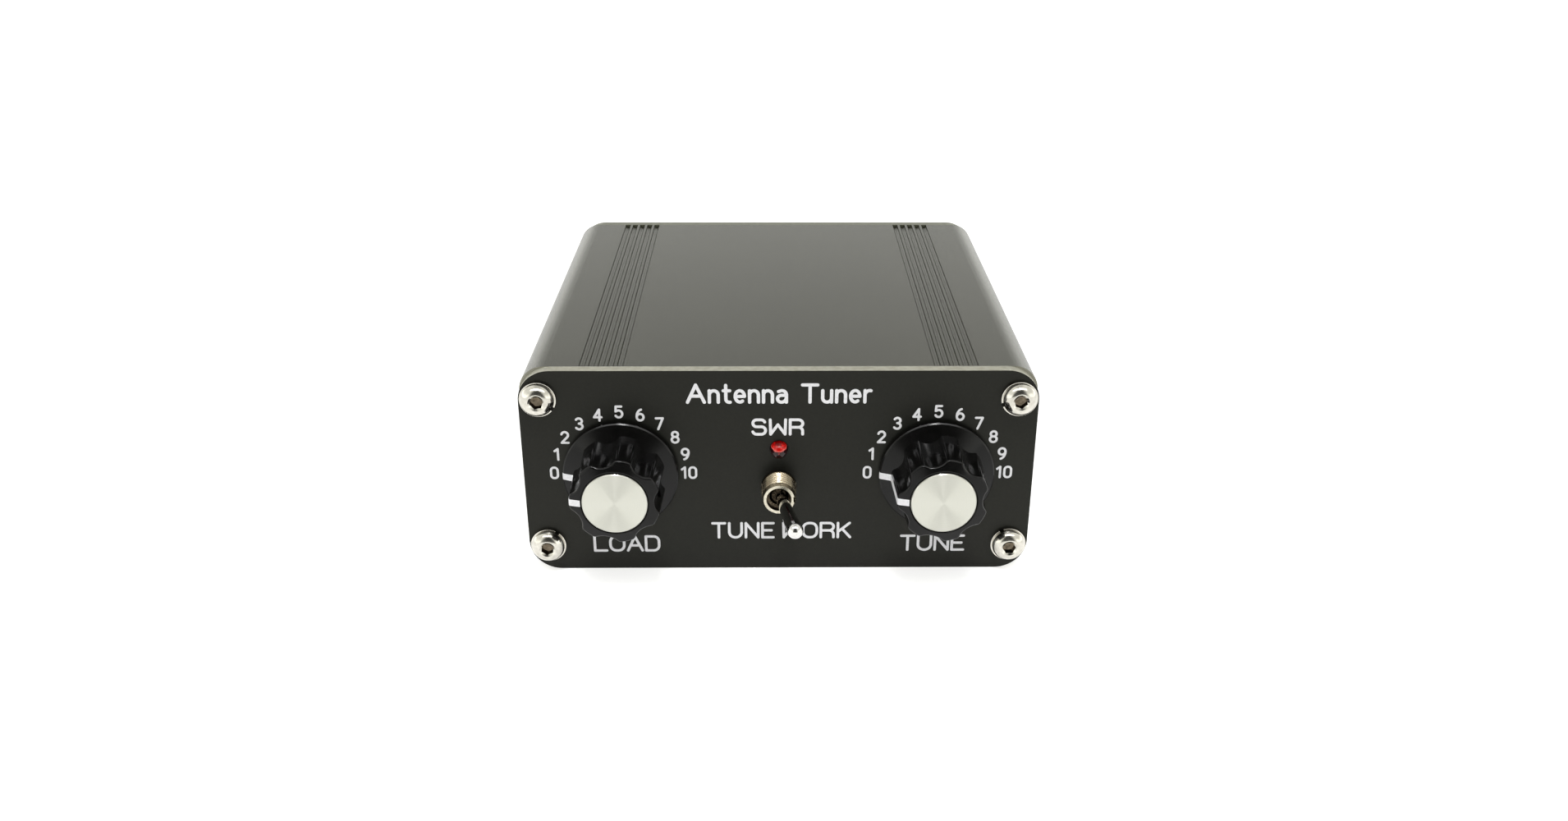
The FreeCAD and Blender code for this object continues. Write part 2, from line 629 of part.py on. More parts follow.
def switch_carriage():
    """Rocking plate that holds the contact strips, on two trunnions in the housing's side walls."""
    half = TRUNNION_RADIUS
    pieces = [block(-3.2, 3.2, CARRIAGE_Y - 0.8, CARRIAGE_Y - 0.3, SWITCH_Z - 3.6, SWITCH_Z + 3.6)]
    for side in (-1, 1):
        low, high = sorted((SWITCH_Z + side * 3.3, SWITCH_Z + side * TRUNNION_REACH))
        pieces.append(rod_z(0, CARRIAGE_Y, TRUNNION_RADIUS, low, high))
        low, high = sorted((SWITCH_Z + side * 3.3, SWITCH_Z + side * 4.6))
        pieces.append(block(-half, half, CARRIAGE_Y - 0.8, CARRIAGE_Y, low, high))
    return tilted_on_carriage(fused(pieces))


def switch_contacts():
    reach = TERMINAL_PITCH + 0.3
    strips = []
    for row in (-1, 1):
        z = SWITCH_Z + row * POLE_RISE
        strip = block(-reach, reach, CARRIAGE_Y - 0.3, CARRIAGE_Y, z - 0.8, z + 0.8)
        strips.append(tilted_on_carriage(strip))
    return group(strips)


# ---------------------------------------------------------------- lamp and boards

def lamp():
    tip = FRONT_Y - LAMP_PROUD
    base = tip + 5.3
    shoulder = tip + LAMP_RADIUS
    outline = [(0, base), (1.9, base), (1.9, base - 1), (LAMP_RADIUS, base - 1),
               ((LAMP_RADIUS, shoulder), (LAMP_RADIUS * DIAGONAL, shoulder - LAMP_RADIUS * DIAGONAL),
                (0, tip))]
    return turned(outline, 0, LAMP_Z)


def lamp_leads():
    base = FRONT_Y - LAMP_PROUD + 5.3
    return group([block(x - 0.25, x + 0.25, base, FRONT_BOARD_REAR_Y + 1.2, LAMP_Z - 0.25, LAMP_Z + 0.25)
                  for x in (-1.27, 1.27)])


def header_columns():
    return [(k - 3.5) * 2.54 for k in range(8)]


def header_pins():
    half = 0.32
    pins = []
    for x in header_columns():
        level = block(x - half, x + half, FRONT_BOARD_Y, HEADER_REAR_Y + half,
                      HEADER_Z - half, HEADER_Z + half)
        drop = block(x - half, x + half, HEADER_REAR_Y - half, HEADER_REAR_Y + half,
                     MAIN_BOARD_Z - 1.2, HEADER_Z + half)
        pins.append(fused([level, drop]))
    return group(pins)


def header_body(pins):
    half = 4 * 2.54
    body = block(-half, half, FRONT_BOARD_REAR_Y, FRONT_BOARD_REAR_Y + 2.5, HEADER_Z - 1, HEADER_Z + 1)
    return body.cut(pins)


def front_board(through):
    y0, y1 = FRONT_BOARD_Y, FRONT_BOARD_REAR_Y
    board = block(-FRONT_BOARD_HALF_WIDTH, FRONT_BOARD_HALF_WIDTH, y0, y1,
                  FRONT_BOARD_LOW, FRONT_BOARD_HIGH)
    holes = []
    for _, x in KNOBS:
        holes.append(rod_y(x, MIDDLE, SHAFT_RADIUS + 0.3, y0, y1))
        holes += [rod_y(x + side * CAPACITOR_SCREW_X, MIDDLE, 1.35, y0, y1) for side in (-1, 1)]
    return board.cut(group(holes)).cut(through)


def main_board(through):
    z0, z1 = MAIN_BOARD_Z, BOARD_TOP_Z
    wide = block(-MAIN_BOARD_HALF_WIDTH, MAIN_BOARD_HALF_WIDTH, MAIN_BOARD_FRONT_Y,
                 MAIN_BOARD_REAR_Y, z0, z1)
    neck = block(-TONGUE_BOARD_HALF_WIDTH, TONGUE_BOARD_HALF_WIDTH, FRONT_BOARD_REAR_Y + 0.1,
                 MAIN_BOARD_FRONT_Y, z0, z1)
    return fused([wide, neck]).cut(through)


# ---------------------------------------------------------------- coil, bridge and detector

def toroid(x, y, outer, inner, z0, z1, wire):
    """Ring core with its edges rounded a little more than the wire's inner bends."""
    core = rod_z(x, y, outer, z0, z1).cut(rod_z(x, y, inner, z0, z1))
    rims = [edge for edge in core.Edges if edge.Closed]
    return core.makeFillet(1.3 * wire, rims)


def turn_of_wire(outer, inner, z0, z1, wire):
    """One closed turn of wire round a ring core's section, in the XZ plane at +X."""
    x0, x1 = inner - wire, outer + wire
    low, high = z0 - wire, z1 + wire
    bend = 2 * wire
    slant = bend * (1 - DIAGONAL)

    def arc(start, middle, end):
        return Part.Arc(vec(start[0], 0, start[1]), vec(middle[0], 0, middle[1]),
                        vec(end[0], 0, end[1])).toShape()

    def line(start, end):
        return Part.makeLine(vec(start[0], 0, start[1]), vec(end[0], 0, end[1]))

    path = Part.Wire([
        line((x1, (low + high) / 2), (x1, high - bend)),
        arc((x1, high - bend), (x1 - slant, high - slant), (x1 - bend, high)),
        line((x1 - bend, high), (x0 + bend, high)),
        arc((x0 + bend, high), (x0 + slant, high - slant), (x0, high - bend)),
        line((x0, high - bend), (x0, low + bend)),
        arc((x0, low + bend), (x0 + slant, low + slant), (x0 + bend, low)),
        line((x0 + bend, low), (x1 - bend, low)),
        arc((x1 - bend, low), (x1 - slant, low + slant), (x1, low + bend)),
        line((x1, low + bend), (x1, (low + high) / 2)),
    ])
    section = Part.Wire(Part.makeCircle(wire, vec(x1, 0, (low + high) / 2), vec(0, 0, 1)))
    return Part.Solid(path.makePipeShell([section], True, False))


def winding(x, y, outer, inner, z0, z1, wire, turns, sweep):
    """Turns spread evenly over a sweep of the core, symmetrical about its rear."""
    single = turn_of_wire(outer, inner, z0, z1, wire)
    copies = []
    for k in range(turns):
        angle = 90 - sweep / 2 + k * sweep / (turns - 1)
        loop = single.copy()
        loop.rotate(vec(0, 0, 0), vec(0, 0, 1), angle)
        loop.translate(vec(x, y, 0))
        copies.append(loop)
    return group(copies)


def resistor(x, y):
    """Axial resistor lying along Y with its leads bent down through the board."""
    length, lead = 11.0, 0.35
    z = BOARD_TOP_Z + RESISTOR_RADIUS + 0.3
    body = rod_y(x, z, RESISTOR_RADIUS, y - length / 2, y + length / 2)
    span = length / 2 + 1.2
    wires = [rod_y(x, z, lead, y - span, y + span)]
    wires += [rod_z(x, y + end * span, lead, MAIN_BOARD_Z - 1, z) for end in (-1, 1)]
    wires += [Part.makeSphere(lead, vec(x, y + end * span, z)) for end in (-1, 1)]
    return fused([body] + wires)


def diode(x, y):
    z = BOARD_TOP_Z + 1.2
    body = rod_y(x, z, 0.95, y - 2, y + 2)
    wires = [rod_y(x, z, 0.25, y - 3.4, y + 3.4)]
    wires += [rod_z(x, y + end * 3.4, 0.25, MAIN_BOARD_Z - 1, z) for end in (-1, 1)]
    wires += [Part.makeSphere(0.25, vec(x, y + end * 3.4, z)) for end in (-1, 1)]
    return fused([body] + wires)


def disc_capacitor(x, y):
    z = BOARD_TOP_Z + 4.2
    disc = rod_y(x, z, 2.6, y - 0.9, y + 0.9)
    wires = [rod_z(x + side * 1.27, y, 0.25, MAIN_BOARD_Z - 1, z) for side in (-1, 1)]
    return fused([disc] + wires)


# ---------------------------------------------------------------- rear sockets

def at_sockets(shape):
    """Copies of a piece modelled on the line X = 0, one at each rear socket."""
    copies = []
    for side in (-1, 1):
        copy = shape.copy()
        copy.translate(vec(side * SOCKET_X, 0, 0))
        copies.append(copy)
    return copies


def socket_barrel():
    """Threaded neck and bayonet barrel with two lugs, on the line X = 0."""
    start = BODY_REAR_Y
    shoulder, mouth = start + SOCKET_NECK_LENGTH, start + SOCKET_LENGTH
    root, pitch = SOCKET_NECK - 0.35, 0.9
    outline = [(SOCKET_BORE, mouth), (SOCKET_BORE, start), (SOCKET_NECK, start)]
    for k in range(6):
        base = start + 1.2 + k * pitch
        outline += [(SOCKET_NECK, base), (root, base + 0.4), (root, base + 0.5)]
    relieved, land = SOCKET_BARREL - SOCKET_RELIEF, mouth - SOCKET_LAND
    outline += [(SOCKET_NECK, shoulder - 0.3), (SOCKET_NECK - 0.4, shoulder), (relieved, shoulder),
                (relieved, land - SOCKET_RELIEF), (SOCKET_BARREL, land), (SOCKET_BARREL, mouth - 0.4),
                (SOCKET_BARREL - 0.3, mouth)]
    barrel = turned(outline, 0, MIDDLE)
    lugs = [Part.makeCylinder(0.95, 1.55, vec(0, mouth - 5.3, MIDDLE + side * 4.2), vec(0, 0, side))
            for side in (-1, 1)]
    return fused([barrel] + lugs)


def socket_housing():
    """Moulded block that stands on the board and holds the barrel."""
    half = SOCKET_HOUSING_HALF
    return block(-half, half, BODY_REAR_Y - SOCKET_HOUSING_DEPTH, BODY_REAR_Y,
                 BOARD_TOP_Z, MIDDLE + half)


def socket_insulator():
    start = BODY_REAR_Y
    step, end = start + 9.0, start + 15.5
    base = ring_y(0, MIDDLE, SOCKET_BORE - 0.02, 1.2, start, step)
    nose = ring_y(0, MIDDLE, 2.4, 1.2, step, end)
    return fused([base, nose])


def socket_contact():
    start = BODY_REAR_Y
    pin = rod_y(0, MIDDLE, 1.18, start, start + 15.0)
    return pin.cut(rod_y(0, MIDDLE, 0.7, start + 8, start + 15.0))


def socket_nut():
    y0 = REAR_Y + 0.5
    nut = hexagon_y(0, MIDDLE, SOCKET_NUT_ACROSS_FLATS, y0, y0 + 2.4, 30)
    corners = SOCKET_NUT_ACROSS_FLATS / sqrt(3)
    chamfer = turned([(0, y0), (corners, y0), (corners, y0 + 1.9),
                      (SOCKET_NUT_ACROSS_FLATS / 2, y0 + 2.4), (0, y0 + 2.4)], 0, MIDDLE)
    return nut.common(chamfer).cut(rod_y(0, MIDDLE, SOCKET_NECK + 0.03, y0, y0 + 3))


def toothed_washer(x, z, inner, outer, y0, y1, teeth):
    washer = ring_y(x, z, outer, inner, y0, y1)
    notches = []
    for k in range(teeth):
        angle = 2 * pi * k / teeth
        notches.append(rod_y(x + outer * cos(angle), z + outer * sin(angle), 0.5, y0, y1))
    return washer.cut(group(notches))


# ---------------------------------------------------------------- output

def write(name, shape):
    if not shape.isValid():
        raise ValueError(name + " is not a valid shape")
    shape.exportStep(os.path.join("parts", name + ".step"))


def write_case():
    lower = case_half()
    write("case_bottom_shell", lower)
    write("case_top_shell", upper_half(lower))
    write("front_panel", front_panel())
    write("rear_panel", rear_panel())
    turns = (12, 41, 25, 3)
    screws = group([button_screw(x, z, turn) for (x, z), turn in zip(corner_places(), turns)])
    washers = group([lock_washer(x, z, angle)
                     for (x, z), angle in zip(corner_places(), WASHER_GAP_ANGLES)])
    write("front_panel_screws", screws)
    write("front_lock_washers", washers)
    write("rear_panel_screws", half_turn_about_z(screws))
    write("rear_lock_washers", half_turn_about_z(washers))


def write_controls():
    for name, x in KNOBS:
        write(name + "_knob_body", knob_body(x))
        write(name + "_knob_cap", knob_cap(x))
        write(name + "_knob_insert", knob_insert(x))
        write(name + "_knob_set_screw", knob_set_screw(x))
        write(name + "_shaft_extension", shaft_extension(x))
        write(name + "_shaft_screw", shaft_screw(x))
        write(name + "_capacitor_rotor", capacitor_rotor(x))
        write(name + "_capacitor_base", capacitor_base(x))
        write(name + "_capacitor_cover", capacitor_cover(x))
        write(name + "_capacitor_stator", capacitor_stator(x))
    write("capacitor_mount_screws", capacitor_screws())


def write_switch(terminals):
    write("switch_bushing", switch_bushing())
    write("switch_frame", switch_frame())
    write("switch_housing", switch_housing(terminals))
    write("switch_nut", switch_nut())
    washer = toothed_washer(0, SWITCH_Z, BUSHING_RADIUS + 0.05, 4.6,
                            SWITCH_FRAME_Y - 0.4, SWITCH_FRAME_Y, 14)
    write("switch_lock_washer", washer)
    write("switch_lever", switch_lever())
    write("switch_plunger", switch_plunger())
    write("switch_carriage", switch_carriage())
    write("switch_contacts", switch_contacts())


def write_boards(terminals):
    pins, legs, leads = header_pins(), capacitor_terminals(), lamp_leads()
    resistors = group([resistor(-37.0 + 5.0 * k, -8.0) for k in range(3)])
    diodes = group([diode(24.0 + 4.0 * k, -8.0) for k in range(2)])
    discs = group([disc_capacitor(27.0, 4.0 + 6.0 * k) for k in range(3)])
    write("switch_terminals", terminals)
    write("capacitor_terminals", legs)
    write("swr_led", lamp())
    write("swr_led_leads", leads)
    write("board_header_pins", pins)
    write("board_header", header_body(pins))
    write("bridge_resistors", resistors)
    write("detector_diodes", diodes)
    write("detector_capacitors", discs)
    write("front_board", front_board(group([pins, legs, leads, terminals])))
    write("main_board", main_board(group([pins, resistors, diodes, discs])))


def write_coils():
    low = BOARD_TOP_Z + 1.0
    coil = (0, COIL_Y, COIL_OUTER, COIL_INNER, low, low + COIL_HEIGHT, COIL_WIRE)
    write("coil_core", toroid(*coil))
    write("coil_winding", winding(*coil, COIL_TURNS, COIL_SWEEP))
    low = BOARD_TOP_Z + 0.5
    transformer = (BRIDGE_X, BRIDGE_Y, BRIDGE_OUTER, BRIDGE_INNER, low, low + BRIDGE_HEIGHT, BRIDGE_WIRE)
    write("bridge_transformer_core", toroid(*transformer))
    write("bridge_transformer_winding", winding(*transformer, BRIDGE_TURNS, COIL_SWEEP))


def write_sockets():
    radio, antenna = at_sockets(socket_barrel())
    write("radio_socket_barrel", radio)
    write("antenna_socket_barrel", antenna)
    write("socket_housings", group(at_sockets(socket_housing())))
    write("socket_insulators", group(at_sockets(socket_insulator())))
    write("socket_contacts", group(at_sockets(socket_contact())))
    write("socket_nuts", group(at_sockets(socket_nut())))
    washer = toothed_washer(0, MIDDLE, SOCKET_NECK + 0.05, 8.3, REAR_Y, REAR_Y + 0.5, 20)
    write("socket_lock_washers", group(at_sockets(washer)))


def main():
    os.makedirs("parts", exist_ok=True)
    terminals = switch_terminals()
    write_case()
    write_controls()
    write_switch(terminals)
    write_boards(terminals)
    write_coils()
    write_sockets()


main()
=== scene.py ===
import json
from math import atan2, cos, pi, radians, sin

import bmesh
import bpy
from mathutils import Matrix, Vector
from mathutils.bvhtree import BVHTree
from mathutils.geometry import delaunay_2d_cdt


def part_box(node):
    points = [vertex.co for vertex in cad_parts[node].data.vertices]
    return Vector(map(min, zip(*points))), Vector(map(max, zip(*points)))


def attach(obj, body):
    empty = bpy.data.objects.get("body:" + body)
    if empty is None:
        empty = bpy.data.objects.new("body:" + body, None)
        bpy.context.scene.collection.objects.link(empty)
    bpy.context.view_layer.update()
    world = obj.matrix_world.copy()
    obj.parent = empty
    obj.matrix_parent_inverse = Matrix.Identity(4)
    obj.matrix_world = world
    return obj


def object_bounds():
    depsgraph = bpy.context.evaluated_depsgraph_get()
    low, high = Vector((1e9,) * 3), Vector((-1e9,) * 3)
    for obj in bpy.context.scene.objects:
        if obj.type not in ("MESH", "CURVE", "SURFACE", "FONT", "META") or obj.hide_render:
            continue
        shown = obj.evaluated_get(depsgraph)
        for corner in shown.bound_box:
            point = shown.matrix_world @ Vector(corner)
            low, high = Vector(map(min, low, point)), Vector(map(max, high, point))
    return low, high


MM = 0.001

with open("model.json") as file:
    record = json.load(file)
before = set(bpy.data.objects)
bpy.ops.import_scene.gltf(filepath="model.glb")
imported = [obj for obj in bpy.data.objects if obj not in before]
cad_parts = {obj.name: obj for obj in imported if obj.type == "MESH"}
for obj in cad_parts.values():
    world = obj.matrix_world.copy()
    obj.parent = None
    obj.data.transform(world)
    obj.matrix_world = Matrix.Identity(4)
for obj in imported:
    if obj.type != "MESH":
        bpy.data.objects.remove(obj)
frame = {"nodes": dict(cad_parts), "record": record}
cad_low, cad_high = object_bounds()
NODES = frame["nodes"]
SLOT_OF = {row["node"]: row["material_slot"] for row in frame["record"]["subparts"]}


# ---------------------------------------------------------------- places, read from the frame

def centre_of(node):
    low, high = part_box(node)
    return (low + high) / 2


panel_low, panel_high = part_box("front_panel")
FRONT_Y = panel_low.y
REAR_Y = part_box("rear_panel")[1].y
PANEL_MIDDLE = (panel_low.z + panel_high.z) / 2
KNOB_AXES = {name: centre_of(name + "_knob_cap") for name in ("load", "tune")}
SWITCH = centre_of("switch_bushing")
screws_low, screws_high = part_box("front_panel_screws")
HEAD_RADIUS = 2.85 * MM
SCREW_RUN = screws_high.x - HEAD_RADIUS  # the screws' distance from the middle, across and up
SCREW_RISE = screws_high.z - HEAD_RADIUS - PANEL_MIDDLE
HEAD_TOP = -screws_low.y
SOCKET_REACH = 1.25 * MM  # how far the painted shade in a screw's socket reaches from its axis, and how deep it starts
SOCKET_DEPTH = 0.35 * MM
MOUTH_REACH = 2.15 * MM  # the same for the mouth of the switch bushing


# ---------------------------------------------------------------- material kit

MIX_COLOUR_INPUTS = (0, 6, 7)  # the Mix node's factor, A and B when it mixes colours
MIX_COLOUR_OUTPUT = 2


class Shading:
    """Short calls for building one node material."""

    def __init__(self, name):
        self.material = bpy.data.materials.new(name)
        self.material.use_nodes = True
        self.tree = self.material.node_tree
        self.shader = self.tree.nodes["Principled BSDF"]
        self.places = self.add("ShaderNodeTexCoord")

    def add(self, kind, **settings):
        node = self.tree.nodes.new(kind)
        for key, value in settings.items():
            setattr(node, key, value)
        return node

    def link(self, source, target):
        self.tree.links.new(source, target)

    def set(self, **values):
        for key, value in values.items():
            self.shader.inputs[key.replace("_", " ")].default_value = value

    def noise(self, scale, detail=3.0, roughness=0.5, stretch=(1, 1, 1), distortion=0.0):
        """A noise value from object coordinates; scale is in features per millimetre."""
        mapping = self.add("ShaderNodeMapping")
        mapping.inputs["Scale"].default_value = [1000 * scale * s for s in stretch]
        self.link(self.places.outputs["Object"], mapping.inputs["Vector"])
        noise = self.add("ShaderNodeTexNoise")
        noise.inputs["Scale"].default_value = 1.0
        noise.inputs["Detail"].default_value = detail
        noise.inputs["Roughness"].default_value = roughness
        noise.inputs["Distortion"].default_value = distortion
        self.link(mapping.outputs["Vector"], noise.inputs["Vector"])
        return noise.outputs["Fac"]

    def ramp(self, value, stops):
        """A colour ramp; stops are (position, colour)."""
        ramp = self.add("ShaderNodeValToRGB")
        elements = ramp.color_ramp.elements
        while len(elements) < len(stops):
            elements.new(1.0)
        for element, (position, colour) in zip(elements, stops):
            element.position = position
            element.color = (*colour, 1)
        self.link(value, ramp.inputs["Fac"])
        return ramp.outputs["Color"]

    def spread(self, value, low, high):
        """Maps a 0 to 1 value onto low to high."""
        remap = self.add("ShaderNodeMapRange")
        remap.inputs["To Min"].default_value = low
        remap.inputs["To Max"].default_value = high
        self.link(value, remap.inputs["Value"])
        return remap.outputs["Result"]

    def mix(self, factor, first, second):
        mix = self.add("ShaderNodeMix", data_type="RGBA")
        for index, value in zip(MIX_COLOUR_INPUTS, (factor, first, second)):
            self.link(value, mix.inputs[index])
        return mix.outputs[MIX_COLOUR_OUTPUT]

    def maths(self, operation, first, second=None):
        node = self.add("ShaderNodeMath", operation=operation)
        for socket, value in zip(node.inputs, (first, second)):
            if isinstance(value, (int, float)):
                socket.default_value = value
            elif value is not None:
                self.link(value, socket)
        return node.outputs[0]

    def bump(self, height, strength, distance_mm):
        bump = self.add("ShaderNodeBump")
        bump.inputs["Strength"].default_value = strength
        bump.inputs["Distance"].default_value = distance_mm * MM
        self.link(height, bump.inputs["Height"])
        self.link(bump.outputs["Normal"], self.shader.inputs["Normal"])

    def colour(self, socket):
        self.link(socket, self.shader.inputs["Base Color"])

    def roughness(self, socket):
        self.link(socket, self.shader.inputs["Roughness"])

    def axis(self, source, name):
        """One component of the object coordinates ("Object") or the normal ("Normal")."""
        split = self.add("ShaderNodeSeparateXYZ")
        self.link(self.places.outputs[source], split.inputs[0])
        return split.outputs[name]


CUT_BRIGHT = [(0.35, (0.21, 0.205, 0.165)), (0.70, (0.27, 0.265, 0.22))]  # bare sawn aluminium
# the same bare aluminium, darker as painted shade: used on the rear panel's bare edge and back
CUT_PAINTED_SHADE = [(0.35, (0.105, 0.108, 0.080)), (0.70, (0.14, 0.143, 0.108))]
SQUARE_ON = 0.9  # how far a normal leans along Y on a sawn end of the case
ON_SHEET = 0.5  # the same on a panel's face, as against its cut edge
ON_SIDE = 0.8  # the same, at most, on a side of the bushing


def anodised_case():
    """Bead-blasted aluminium, anodised dark grey with a fine grain; its sawn ends are bare."""
    s = Shading("anodised_case")
    grain = s.noise(4.0, detail=5.0, roughness=0.75)
    cloud = s.noise(0.05, detail=2.0)
    tone = s.maths("ADD", s.maths("MULTIPLY", grain, 0.7), s.maths("MULTIPLY", cloud, 0.3))
    anodised = s.ramp(tone, [(0.30, (0.0060, 0.0063, 0.0026)), (0.70, (0.0130, 0.0135, 0.0068))])
    bare = s.ramp(cloud, CUT_BRIGHT)
    on_end = s.maths("GREATER_THAN", s.maths("ABSOLUTE", s.axis("Normal", "Y")), SQUARE_ON)
    s.colour(s.mix(on_end, anodised, bare))
    s.roughness(s.spread(grain, 0.20, 0.30))
    s.bump(grain, 0.5, 0.05)
    s.set(Specular_IOR_Level=0.40, Specular_Tint=(1.0, 1.0, 0.92, 1))
    return s.material


def black_panel():
    """Satin black coat on a sheet's outer face; the edge and back are bare, with painted shade
    making them duller at the rear.
    """
    s = Shading("black_panel")
    speckle = s.noise(2.2, detail=5.0, roughness=0.65)
    face = s.ramp(speckle, [(0.35, (0.0040, 0.0041, 0.0034)), (0.75, (0.0065, 0.0066, 0.0056))])
    cut = s.noise(0.9, detail=3.0)
    at_rear = s.maths("GREATER_THAN", s.axis("Object", "Y"), 0.0)
    # painted shade: the rear panel's bare aluminium is darker than the front panel's
    bare = s.mix(at_rear, s.ramp(cut, CUT_BRIGHT), s.ramp(cut, CUT_PAINTED_SHADE))
    outwards = s.maths("MULTIPLY", s.axis("Normal", "Y"), s.maths("SIGN", s.axis("Object", "Y")))
    on_face = s.maths("GREATER_THAN", outwards, ON_SHEET)
    s.colour(s.mix(on_face, bare, face))
    s.roughness(s.spread(speckle, 0.30, 0.42))
    s.bump(speckle, 0.10, 0.02)
    s.set(Specular_IOR_Level=0.20, Specular_Tint=(1.0, 1.0, 0.90, 1))
    return s.material


def screw_steel():
    """Polished stainless heads, with painted shade darkening the bottom of their hexagon sockets.
    """
    s = Shading("screw_steel")
    tone = s.noise(1.5, detail=4.0, roughness=0.6)
    bright = s.ramp(tone, [(0.3, (0.50, 0.48, 0.43)), (0.7, (0.62, 0.60, 0.55))])
    # painted shade for the recess of each hexagon socket
    recess_shade = s.ramp(tone, [(0.3, (0.055, 0.045, 0.032)), (0.7, (0.16, 0.13, 0.095))])
    offsets = []
    for name, centre, run in (("X", 0.0, SCREW_RUN), ("Z", PANEL_MIDDLE, SCREW_RISE)):
        from_middle = s.maths("ABSOLUTE", s.maths("SUBTRACT", s.axis("Object", name), centre))
        offsets.append(s.maths("POWER", s.maths("SUBTRACT", from_middle, run), 2))
    reach = s.maths("SQRT", s.maths("ADD", *offsets))
    outwards = s.maths("ABSOLUTE", s.axis("Object", "Y"))
    near_axis = s.maths("LESS_THAN", reach, SOCKET_REACH)
    below_rim = s.maths("LESS_THAN", outwards, HEAD_TOP - SOCKET_DEPTH)
    s.colour(s.mix(s.maths("MULTIPLY", near_axis, below_rim), bright, recess_shade))
    s.roughness(s.spread(tone, 0.10, 0.20))
    s.bump(tone, 0.04, 0.02)
    s.set(Metallic=1.0)
    return s.material


def nickel():
    """Nickel plate, duller and browner on the switch bushing's sides in front of the panel, with
    painted shade inside its mouth.
    """
    s = Shading("nickel")
    tone = s.noise(1.5, detail=4.0, roughness=0.6)
    bright = s.ramp(tone, [(0.3, (0.44, 0.41, 0.33)), (0.7, (0.58, 0.55, 0.455))])
    dull = s.ramp(tone, [(0.3, (0.19, 0.155, 0.105)), (0.7, (0.27, 0.235, 0.17))])
    # painted shade for the recess of the bushing's mouth
    recess_shade = s.ramp(tone, [(0.3, (0.035, 0.028, 0.020)), (0.7, (0.10, 0.08, 0.055))])
    at_front = s.maths("LESS_THAN", s.axis("Object", "Y"), 0.0)
    on_side = s.maths("LESS_THAN", s.maths("ABSOLUTE", s.axis("Normal", "Y")), ON_SIDE)
    bright = s.mix(s.maths("MULTIPLY", at_front, on_side), bright, dull)
    offsets = [s.maths("POWER", s.maths("SUBTRACT", s.axis("Object", name), centre), 2)
               for name, centre in (("X", SWITCH.x), ("Z", SWITCH.z))]
    inside = s.maths("LESS_THAN", s.maths("SQRT", s.maths("ADD", *offsets)), MOUTH_REACH)
    s.colour(s.mix(inside, bright, recess_shade))
    s.roughness(s.spread(tone, 0.20, 0.34))
    s.bump(tone, 0.04, 0.02)
    s.set(Metallic=1.0)
    return s.material


def plain(name, light, dark, rough, bump, depth_mm, metallic):
    """One material with a faint variation of tone, gloss and surface."""
    def build():
        s = Shading(name)
        tone = s.noise(1.5, detail=4.0, roughness=0.6)
        s.colour(s.ramp(tone, [(0.3, dark), (0.7, light)]))
        s.roughness(s.spread(tone, *rough))
        s.bump(tone, bump, depth_mm)
        s.set(Metallic=metallic)
        return s.material
    return build


def metal(name, light, dark, rough=(0.12, 0.24)):
    return plain(name, light, dark, rough, 0.04, 0.02, 1.0)


def moulded(name, light, dark, rough=(0.35, 0.5)):
    return plain(name, light, dark, rough, 0.05, 0.03, 0.0)


def knob_phenolic():
    """Glossy black phenolic with faint flow marks and fine scuffs."""
    s = Shading("knob_phenolic")
    flow = s.noise(0.5, detail=3.0, distortion=1.5)
    scuff = s.noise(3.0, detail=6.0, roughness=0.75)
    s.colour(s.ramp(flow, [(0.3, (0.0012, 0.0012, 0.0012)), (0.7, (0.0028, 0.0027, 0.0027))]))
    s.roughness(s.spread(scuff, 0.10, 0.20))
    s.bump(flow, 0.05, 0.05)
    s.set(Specular_IOR_Level=0.21)
    return s.material


def spun_aluminium():
    """Aluminium turned on its face: fine concentric rings that spread highlights into a bow tie."""
    s = Shading("spun_aluminium")
    across = s.add("ShaderNodeSeparateXYZ")
    s.link(s.places.outputs["Generated"], across.inputs[0])
    dx = s.maths("SUBTRACT", across.outputs["X"], 0.5)
    dz = s.maths("SUBTRACT", across.outputs["Z"], 0.5)
    squares = [s.maths("MULTIPLY", offset, offset) for offset in (dx, dz)]
    radius = s.maths("SQRT", s.maths("ADD", *squares))
    rings = s.add("ShaderNodeTexNoise", noise_dimensions="1D")
    rings.inputs["Scale"].default_value = 160.0
    rings.inputs["Detail"].default_value = 3.0
    s.link(radius, rings.inputs["W"])
    tone = rings.outputs["Fac"]
    s.colour(s.ramp(tone, [(0.3, (0.49, 0.49, 0.443)), (0.7, (0.54, 0.54, 0.488))]))
    s.roughness(s.spread(tone, 0.26, 0.36))
    s.bump(tone, 0.04, 0.02)
    s.set(Metallic=1.0, Anisotropic=0.95, Anisotropic_Rotation=0.25)
    tangent = s.add("ShaderNodeTangent", direction_type="RADIAL", axis="Y")
    s.link(tangent.outputs["Tangent"], s.shader.inputs["Tangent"])
    return s.material


def lamp_red():
    """Red epoxy, unlit, with light painted into its colour: a painted glow on top, a painted
    pinkish highlight band under it, painted shade below and at the sides.
    """
    s = Shading("lamp_red")
    depth = s.noise(1.2, detail=2.0)
    facing = s.maths("ADD", s.axis("Normal", "Z"), s.maths("MULTIPLY", depth, 0.25))
    sideways = s.maths("POWER", s.axis("Normal", "X"), 2)
    facing = s.maths("SUBTRACT", facing, s.maths("MULTIPLY", sideways, 0.35))
    # painted light by the normal: dark below, a painted pinkish highlight band, bright red upwards,
    # darker again at the very top
    painted_glow = [(0.16, (0.012, 0.0008, 0.0015)), (0.25, (0.030, 0.001, 0.002)),
            (0.34, (0.52, 0.085, 0.070)), (0.46, (0.44, 0.006, 0.004)),
            (0.82, (0.34, 0.004, 0.003)), (1.0, (0.12, 0.001, 0.001))]
    s.colour(s.ramp(facing, painted_glow))
    s.roughness(s.spread(depth, 0.08, 0.18))
    s.set(Specular_IOR_Level=0.35)
    return s.material


